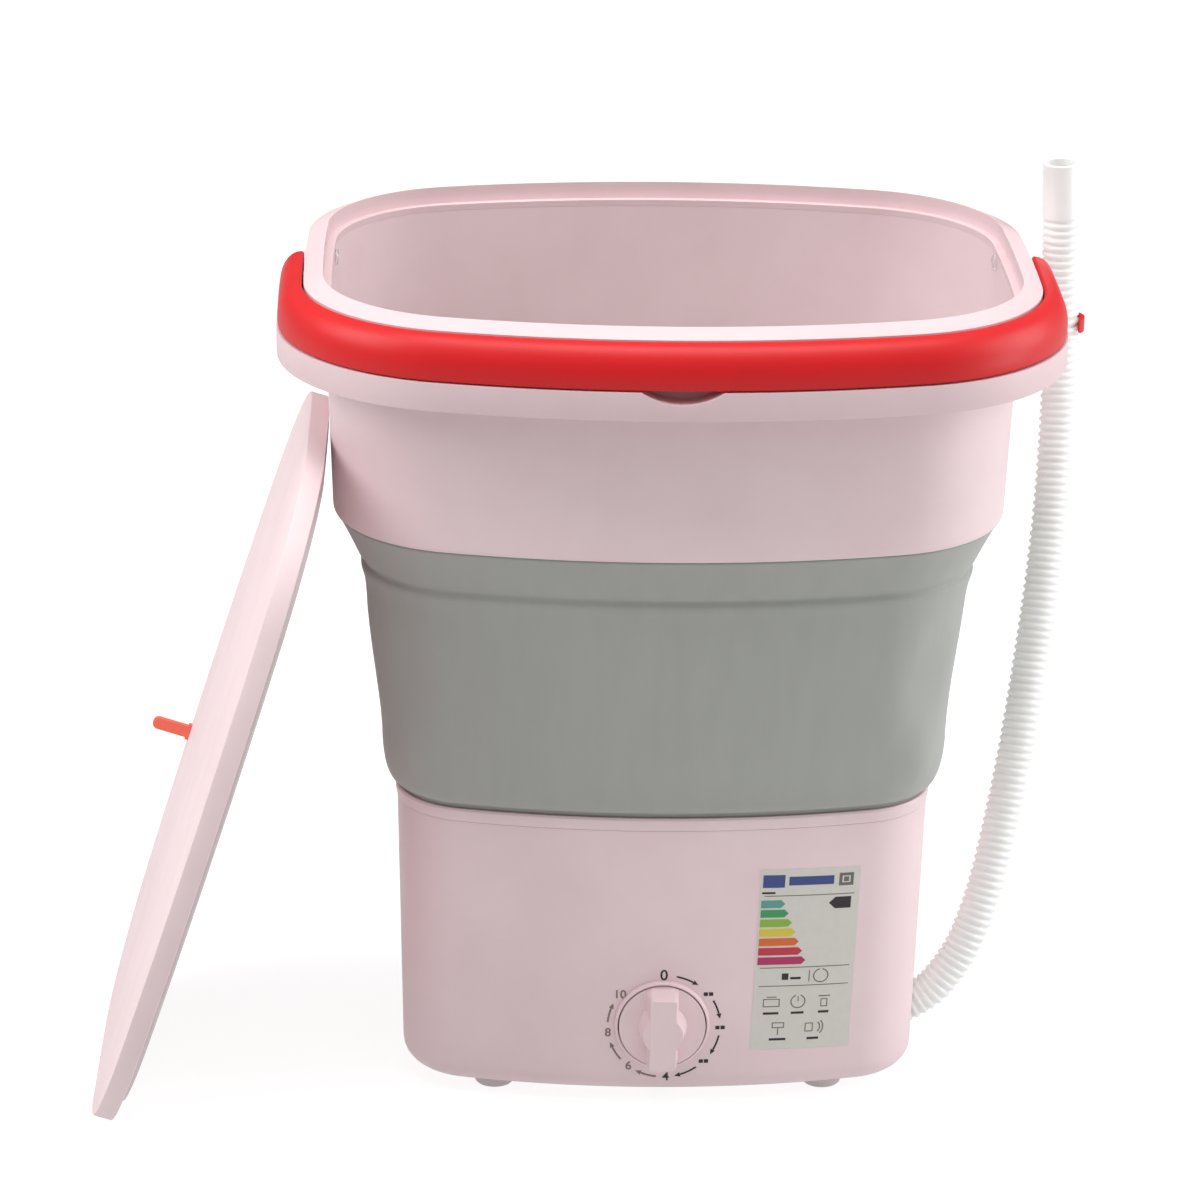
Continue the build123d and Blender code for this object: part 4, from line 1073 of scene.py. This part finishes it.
    def bar_tree(self) -> bpy.types.NodeTree:
        """Builds the tree that stacks graded bars, each longer than the one above it.

        Returns:
            The tree.
        """
        size = "NodeSocketFloat"
        tree = new_tree("graded_bars", {
            "Count": ("NodeSocketInt", 7), "Pitch": (size, 5.3), "Height": (size, 4.2),
            "First length": (size, 10.2), "Growth": (size, 2.05), "Point": (size, 2.4)})
        start = tree.nodes["start"].outputs
        points = add_node(tree, "GeometryNodeMeshLine", {}, {"Count": start["Count"]})
        number = add_node(tree, "GeometryNodeInputIndex").outputs[0]
        grown = sum_node(tree, "MULTIPLY_ADD", number, start["Growth"], start["First length"])
        low = sum_node(tree, "MULTIPLY", sum_node(tree, "MULTIPLY", number, start["Pitch"]), -1.0)
        half = sum_node(tree, "MULTIPLY", grown, 0.5)
        moved = add_node(tree, "GeometryNodeSetPosition", {}, {
            "Geometry": points.outputs[0], "Position": vector_node(tree, X=half, Z=low)})
        share = sum_node(tree, "DIVIDE", number, start["Count"])
        graded = add_node(tree, "GeometryNodeStoreNamedAttribute", {"data_type": "FLOAT", "domain": "POINT"},
                          {"Geometry": moved.outputs[0], "Name": "grade", "Value": share}).outputs[0]
        bar = add_node(tree, "GeometryNodeMeshCube", {}, {"Size": (1.0, 0.1, 1.0), "Vertices X": 6}).outputs[0]
        wedge = add_node(tree, "GeometryNodeMeshCylinder", {}, {"Vertices": 3, "Radius": 0.577, "Depth": 0.1})
        tip = add_node(tree, "GeometryNodeTransform", {}, {
            "Geometry": wedge.outputs[0], "Rotation": (math.pi / 2, 0, 0)}).outputs[0]
        reach = vector_node(tree, X=sum_node(tree, "ADD", half, 0.7))
        onward = add_node(tree, "GeometryNodeSetPosition", {}, {
            "Geometry": graded, "Offset": reach}).outputs[0]
        both = add_node(tree, "GeometryNodeJoinGeometry")
        for places, shape, wide in ((graded, bar, grown), (onward, tip, start["Point"])):
            copies = add_node(tree, "GeometryNodeInstanceOnPoints", {}, {
                "Points": places, "Instance": shape,
                "Scale": vector_node(tree, X=wide, Y=1.0, Z=start["Height"])})
            tree.links.new(copies.outputs[0], both.inputs[0])
        finish_tree(tree, both.outputs[0], self.palette.bars)
        return tree

    def label(self) -> None:
        """Sticks the printed label on the front: paper, graded bars, a marker, blocks and outlines."""
        look = self.palette
        width, tall = self.label_size
        self.stick("label_sheet", [box(0, 0, width, tall)], look.paper, 0.15, 0.0)
        source = make_piece("bars_source", [(0, 0, 0)], [], look.bars)
        bars = baked(source, self.bar_tree(), {}, "label_bars", look.bars)
        bars.data.transform(Matrix.Translation((-width / 2 + 1.0, 0, 31.2)))
        self.wrap(bars, self.label_centre, self.label_turn, 0.2)
        self.keep(bars, Body.BASE, "pale_plastic")
        marker = [[(10.2, 30.9), (13.4, 27.7), (21.5, 27.7), (21.5, 34.1), (13.4, 34.1)]]
        rules = [box(0, z, width - 5, 0.45) for z in (35.7, -4.5, -14.8)]
        icons = [
            *open_box(-16, -24.3, 8.6, 4.6), box(-16, -21.0, 5.0, 0.5),
            round_line(-2.3, -23.8, 3.6, 20, 340), box(-2.3, -22.4, 0.5, 2.8),
            box(11.2, -21.2, 6.0, 0.6), *open_box(11.2, -25.0, 3.6, 4.6),
            *open_box(-11.8, -37.0, 6.4, 3.2), box(-11.8, -40.6, 0.6, 3.6),
            *open_box(4.2, -38.7, 4.2, 5.0), round_line(6.5, -38.7, 3.4, 40, 140),
            round_line(6.5, -38.7, 5.0, 45, 135), round_line(8.6, -9.6, 3.7, 10, 350), box(2.6, -9.6, 0.5, 6.4)]
        words = [box(*block) for block in (
            (-16, -30.2, 8.0, 1.3), (-2.3, -30.2, 6.6, 1.3), (11.2, -30.2, 5.4, 1.3), (-11.8, -45.0, 8.6, 1.3),
            (6.5, -45.0, 6.0, 1.3), (-9.8, -9.6, 3.4, 3.6), (-4.4, -10.6, 5.4, 1.3), (-21.0, 37.4, 6.8, 1.1))]
        badge = [*open_box(18.4, 43.8, 7.4, 7.0, 1.6), box(18.4, 43.8, 2.6, 2.6)]
        head = [box(-18.6, 43.8, 11.2, 7.0), box(0.6, 43.8, 23.0, 4.8)]
        for name, shapes, ink in (("label_marker", marker + words, look.ink),
                                  ("label_lines", rules + icons + badge, look.grey_ink),
                                  ("label_head", head, look.blue_ink)):
            self.stick(name, shapes, ink, 0.05, 0.15)

    def stick(self, name: str, shapes: Sequence[Outline], material: bpy.types.Material, depth: float,
              lift: float) -> None:
        """Puts flat shapes on the front where the label is.

        Args:
            name: The piece's name.
            shapes: Outlines about the label's middle.
            material: Its finish.
            depth: How thick it is.
            lift: How far off the wall it starts.
        """
        piece = self.plate(name, shapes, depth, material, 4.0)
        self.wrap(piece, self.label_centre, self.label_turn, lift)
        self.keep(piece, Body.BASE, "pale_plastic")

    def cross_tree(self) -> bpy.types.NodeTree:
        """Builds the tree that sets a cross on every point, facing the way that the point says.

        Returns:
            The tree.
        """
        size = "NodeSocketFloat"
        tree = new_tree("crosses", {"Length": (size, 0.0026), "Width": (size, 0.0006)})
        start = tree.nodes["start"].outputs
        facing = add_node(tree, "GeometryNodeInputNamedAttribute", {"data_type": "FLOAT_VECTOR"},
                          {"Name": "facing"})
        turned = add_node(tree, "FunctionNodeAlignRotationToVector", {"axis": "Z"},
                          {"Vector": facing.outputs["Attribute"]})
        both = add_node(tree, "GeometryNodeJoinGeometry")
        for first, second in (("Length", "Width"), ("Width", "Length")):
            shape = vector_node(tree, X=start[first], Y=start[second], Z=0.0001)
            arm = add_node(tree, "GeometryNodeMeshCube", {}, {"Size": shape})
            tree.links.new(arm.outputs[0], both.inputs[0])
        crosses = add_node(tree, "GeometryNodeInstanceOnPoints", {}, {
            "Points": start["Geometry"], "Instance": both.outputs[0], "Rotation": turned.outputs[0]})
        # The black crosses are painted shade: they stand in for the shadow in each head's recess.
        finish_tree(tree, crosses.outputs[0], self.palette.black)
        return tree

    def paint_recess_shade(self, name: str, places: Sequence[Point], facing: Sequence[Point], body: Body) -> None:
        """Puts a flat black cross on screw heads: painted shade where the driver's recess is.

        Args:
            name: The piece's name.
            places: The middles of the heads.
            facing: The way each faces.
            body: The body that they ride on.
        """
        source = make_piece(name + "_source", places, [], self.palette.black)
        ways = source.data.attributes.new("facing", "FLOAT_VECTOR", "POINT")
        ways.data.foreach_set("vector", [value for way in facing for value in way])
        tree = bpy.data.node_groups.get("crosses") or self.cross_tree()
        self.keep(baked(source, tree, {}, name, self.palette.black), body, "dark_plastic")

    def build(self) -> None:
        """Dresses the base and makes its print."""
        look = self.palette
        self.dress({"base_shell": look.pink, "base_collar": look.pink, "bottom_cover": look.pink,
                    "feet": look.seal, "cover_screws": look.steel, "tub_pan": look.pink, "drain_grate": look.pale,
                    "drain_pipe": look.pale, "drain_spigot": look.pale, "bellows_lower_ring": look.pale,
                    "timer_module": look.dark, "timer_screws": look.steel, "control_board": look.board,
                    "board_screws": look.steel, "power_socket": look.dark, "socket_pins": look.brass})
        self.bezel()
        self.dial()
        self.label()
        self.paint_recess_shade("cover_screw_recess_shade", [(-115, 0, 3.9), (115, 0, 3.9), (0, -75, 3.9), (0, 75, 3.9)],
                      [(0, 0, -1)] * 4, Body.BASE)


@dataclass
class Drive(SubAssembly):
    """Motor, belt, bearing and the pulsator in the tub's floor."""

    def build(self) -> None:
        """Dresses the drive."""
        look = self.palette
        self.dress({"bearing_housing": look.dark, "shaft_bushes": look.brass, "shaft_seal": look.black,
                    "motor_housing": look.motor, "motor_bracket": look.steel, "bracket_screws": look.steel,
                    "drive_belt": look.black, "drive_pulley": look.dark, "motor_pulley": look.alloy,
                    "motor_shaft": look.steel, "pulsator_shaft": look.steel, "pulsator_screw": look.steel,
                    "pulsator": look.pale})


@dataclass
class UpperUnit(SubAssembly):
    """Pink upper wall with its rim, the red hose clip and the clear caps over the rim's screws."""

    def build(self) -> None:
        """Dresses the upper part."""
        look = self.palette
        self.dress({"upper_shell": look.pink, "rim_frame": look.rim, "bellows_upper_ring": look.pale,
                    "pivot_pins": look.steel, "rim_screws": look.steel, "rim_caps": look.clear,
                    "hose_clip": look.red})


@dataclass
class Bail(SubAssembly):
    """Red carry handle round the front half of the rim."""

    def build(self) -> None:
        """Dresses the handle and rounds its edges."""
        self.dress({"carry_handle": self.palette.red}, 40)
        handle = self.nodes["carry_handle"]
        rounded = handle.modifiers.new("rounded", "BEVEL")
        rounded.width, rounded.segments, rounded.limit_method = 1.4 * MM, 3, "ANGLE"
        rounded.angle_limit, rounded.use_clamp_overlap = math.radians(50), False
        handle.modifiers.move(handle.modifiers.find("rounded"), 1)


@dataclass
class Knob(SubAssembly):
    """Timer knob with its grip bar."""

    def build(self) -> None:
        """Dresses the knob."""
        self.dress({"timer_knob": self.palette.pink, "timer_shaft": self.palette.dark}, 25)


@dataclass
class Lid(SubAssembly):
    """Lid that leans on the left side, with its seal and its red tongue."""

    def build(self) -> None:
        """Dresses the lid."""
        look = self.palette
        self.dress({"lid_panel": look.lid, "lid_seal": look.seal, "lid_pull_tab": look.tongue})


# ---------------------------------------------------------------------------------------------
# Studio


@dataclass
class Studio:
    """Plain white sweep with soft lights at both sides and above, and the photograph's camera."""

    eye: Point = (-0.107857, -2.164091, 1.037594)
    right: Point = (0.99944610, -0.02920975, 0.01594655)
    up: Point = (-0.00487858, 0.34540013, 0.93844283)
    lens: float = 135.021
    ambient: float = 0.10
    above: float = 0.50
    aside: float = 0.28
    floor_glow: tuple[float, float] = (0.43, 0.82)    # on the object, and to the eye
    floor_reach: float = 6.0

    def camera(self) -> None:
        """Sets up the camera."""
        data = bpy.data.cameras.new("camera")
        data.lens, data.sensor_width, data.clip_end = self.lens, 36.0, 20.0
        camera = bpy.data.objects.new("camera", data)
        right, up = Vector(self.right).normalized(), Vector(self.up).normalized()
        back = right.cross(up)
        camera.matrix_world = Matrix.Translation(self.eye) @ Matrix((right, up, back)).transposed().to_4x4()
        bpy.context.scene.collection.objects.link(camera)
        bpy.context.scene.camera = camera

    def white_rays(self, tree: bpy.types.NodeTree) -> Any:
        """Returns the socket that is 1 for rays that should meet the plain white background."""
        path = add_node(tree, "ShaderNodeLightPath").outputs
        return sum_node(tree, "MAXIMUM", path["Is Camera Ray"], path["Is Transmission Ray"])

    def world(self) -> None:
        """Makes the world: white to the eye, and on the object mostly light from above and the sides."""
        world = bpy.data.worlds.new("white_studio")
        bpy.context.scene.world = world
        world.use_nodes = True
        tree = world.node_tree
        tree.nodes.clear()
        way = add_node(tree, "ShaderNodeSeparateXYZ", {}, {
            0: add_node(tree, "ShaderNodeTexCoord").outputs["Generated"]}).outputs
        above = add_node(tree, "ShaderNodeMath", {"operation": "MULTIPLY_ADD", "use_clamp": True},
                         {0: way["Z"], 1: self.above, 2: self.ambient}).outputs[0]
        aside = sum_node(tree, "MULTIPLY", way["X"], way["X"])
        lit = sum_node(tree, "MULTIPLY_ADD", aside, self.aside, above)
        background = add_node(tree, "ShaderNodeBackground", {}, {
            "Color": (1.0, 1.0, 1.0, 1.0),
            "Strength": map_node(tree, self.white_rays(tree), (lit, 1.0), clamp=False)})
        add_node(tree, "ShaderNodeOutputWorld", {}, {"Surface": background.outputs[0]})

    def floor(self) -> None:
        """Lays the white floor, which keeps the washer's shadow."""
        material = bpy.data.materials.new("white_paper_sweep")
        material.use_nodes = True
        tree = material.node_tree
        shader = tree.nodes["Principled BSDF"]
        shader.inputs["Base Color"].default_value = linear("#989898")
        shader.inputs["Roughness"].default_value = 0.9
        shader.inputs["Emission Color"].default_value = (1.0, 1.0, 1.0, 1.0)
        glow = map_node(tree, self.white_rays(tree), self.floor_glow)
        tree.links.new(glow, shader.inputs["Emission Strength"])
        reach = self.floor_reach
        corners = [(-reach, -reach, 0), (reach, -reach, 0), (reach, reach, 0), (-reach, reach, 0)]
        floor = make_piece("floor", corners, [(0, 1, 2, 3)], material, False, 1.0)

    def lamp(self, name: str, place: Point, aim: Point, size: tuple[float, float], power: float) -> None:
        """Hangs a soft lamp.

        Args:
            name: Its name.
            place: Where it hangs.
            aim: What it points at.
            size: Its width and height.
            power: Its power in watts.
        """
        data = bpy.data.lights.new(name, "AREA")
        data.shape, data.size, data.size_y, data.energy = "RECTANGLE", size[0], size[1], power
        lamp = bpy.data.objects.new(name, data)
        way = Vector(aim) - Vector(place)
        lamp.matrix_world = Matrix.Translation(place) @ way.to_track_quat("-Z", "Y").to_matrix().to_4x4()
        bpy.context.scene.collection.objects.link(lamp)

    def build(self) -> None:
        """Sets up the studio."""
        self.camera()
        self.world()
        self.floor()
        self.lamp("left_softbox", (-1.6, -0.3, 1.5), (0, 0, 0.3), (1.2, 1.2), 20)
        self.lamp("right_softbox", (1.8, 0.05, 0.9), (0, 0, 0.25), (1.2, 1.2), 16)
        self.lamp("low_right_softbox", (1.6, -0.3, 0.12), (0.15, -0.1, 0.2), (0.4, 0.25), 2.4)
        self.lamp("top_softbox", (0.0, -0.42, 2.4), (0, 0.1, 0.4), (1.8, 1.2), 29)
        scene = bpy.context.scene
        scene.view_settings.view_transform = "Standard"


def main() -> None:
    """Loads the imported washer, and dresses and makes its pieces."""
    logging.basicConfig(level=logging.INFO, format="%(name)s: %(message)s")
    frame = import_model()
    palette, nodes = Palette(), frame["nodes"]
    Studio().build()
    for assembly in (DrainHose(palette, nodes), SoftWall(palette, nodes), BaseUnit(palette, nodes),
                     Drive(palette, nodes), UpperUnit(palette, nodes), Bail(palette, nodes),
                     Knob(palette, nodes), Lid(palette, nodes)):
        assembly.build()


if __name__ == "__main__":
    main()
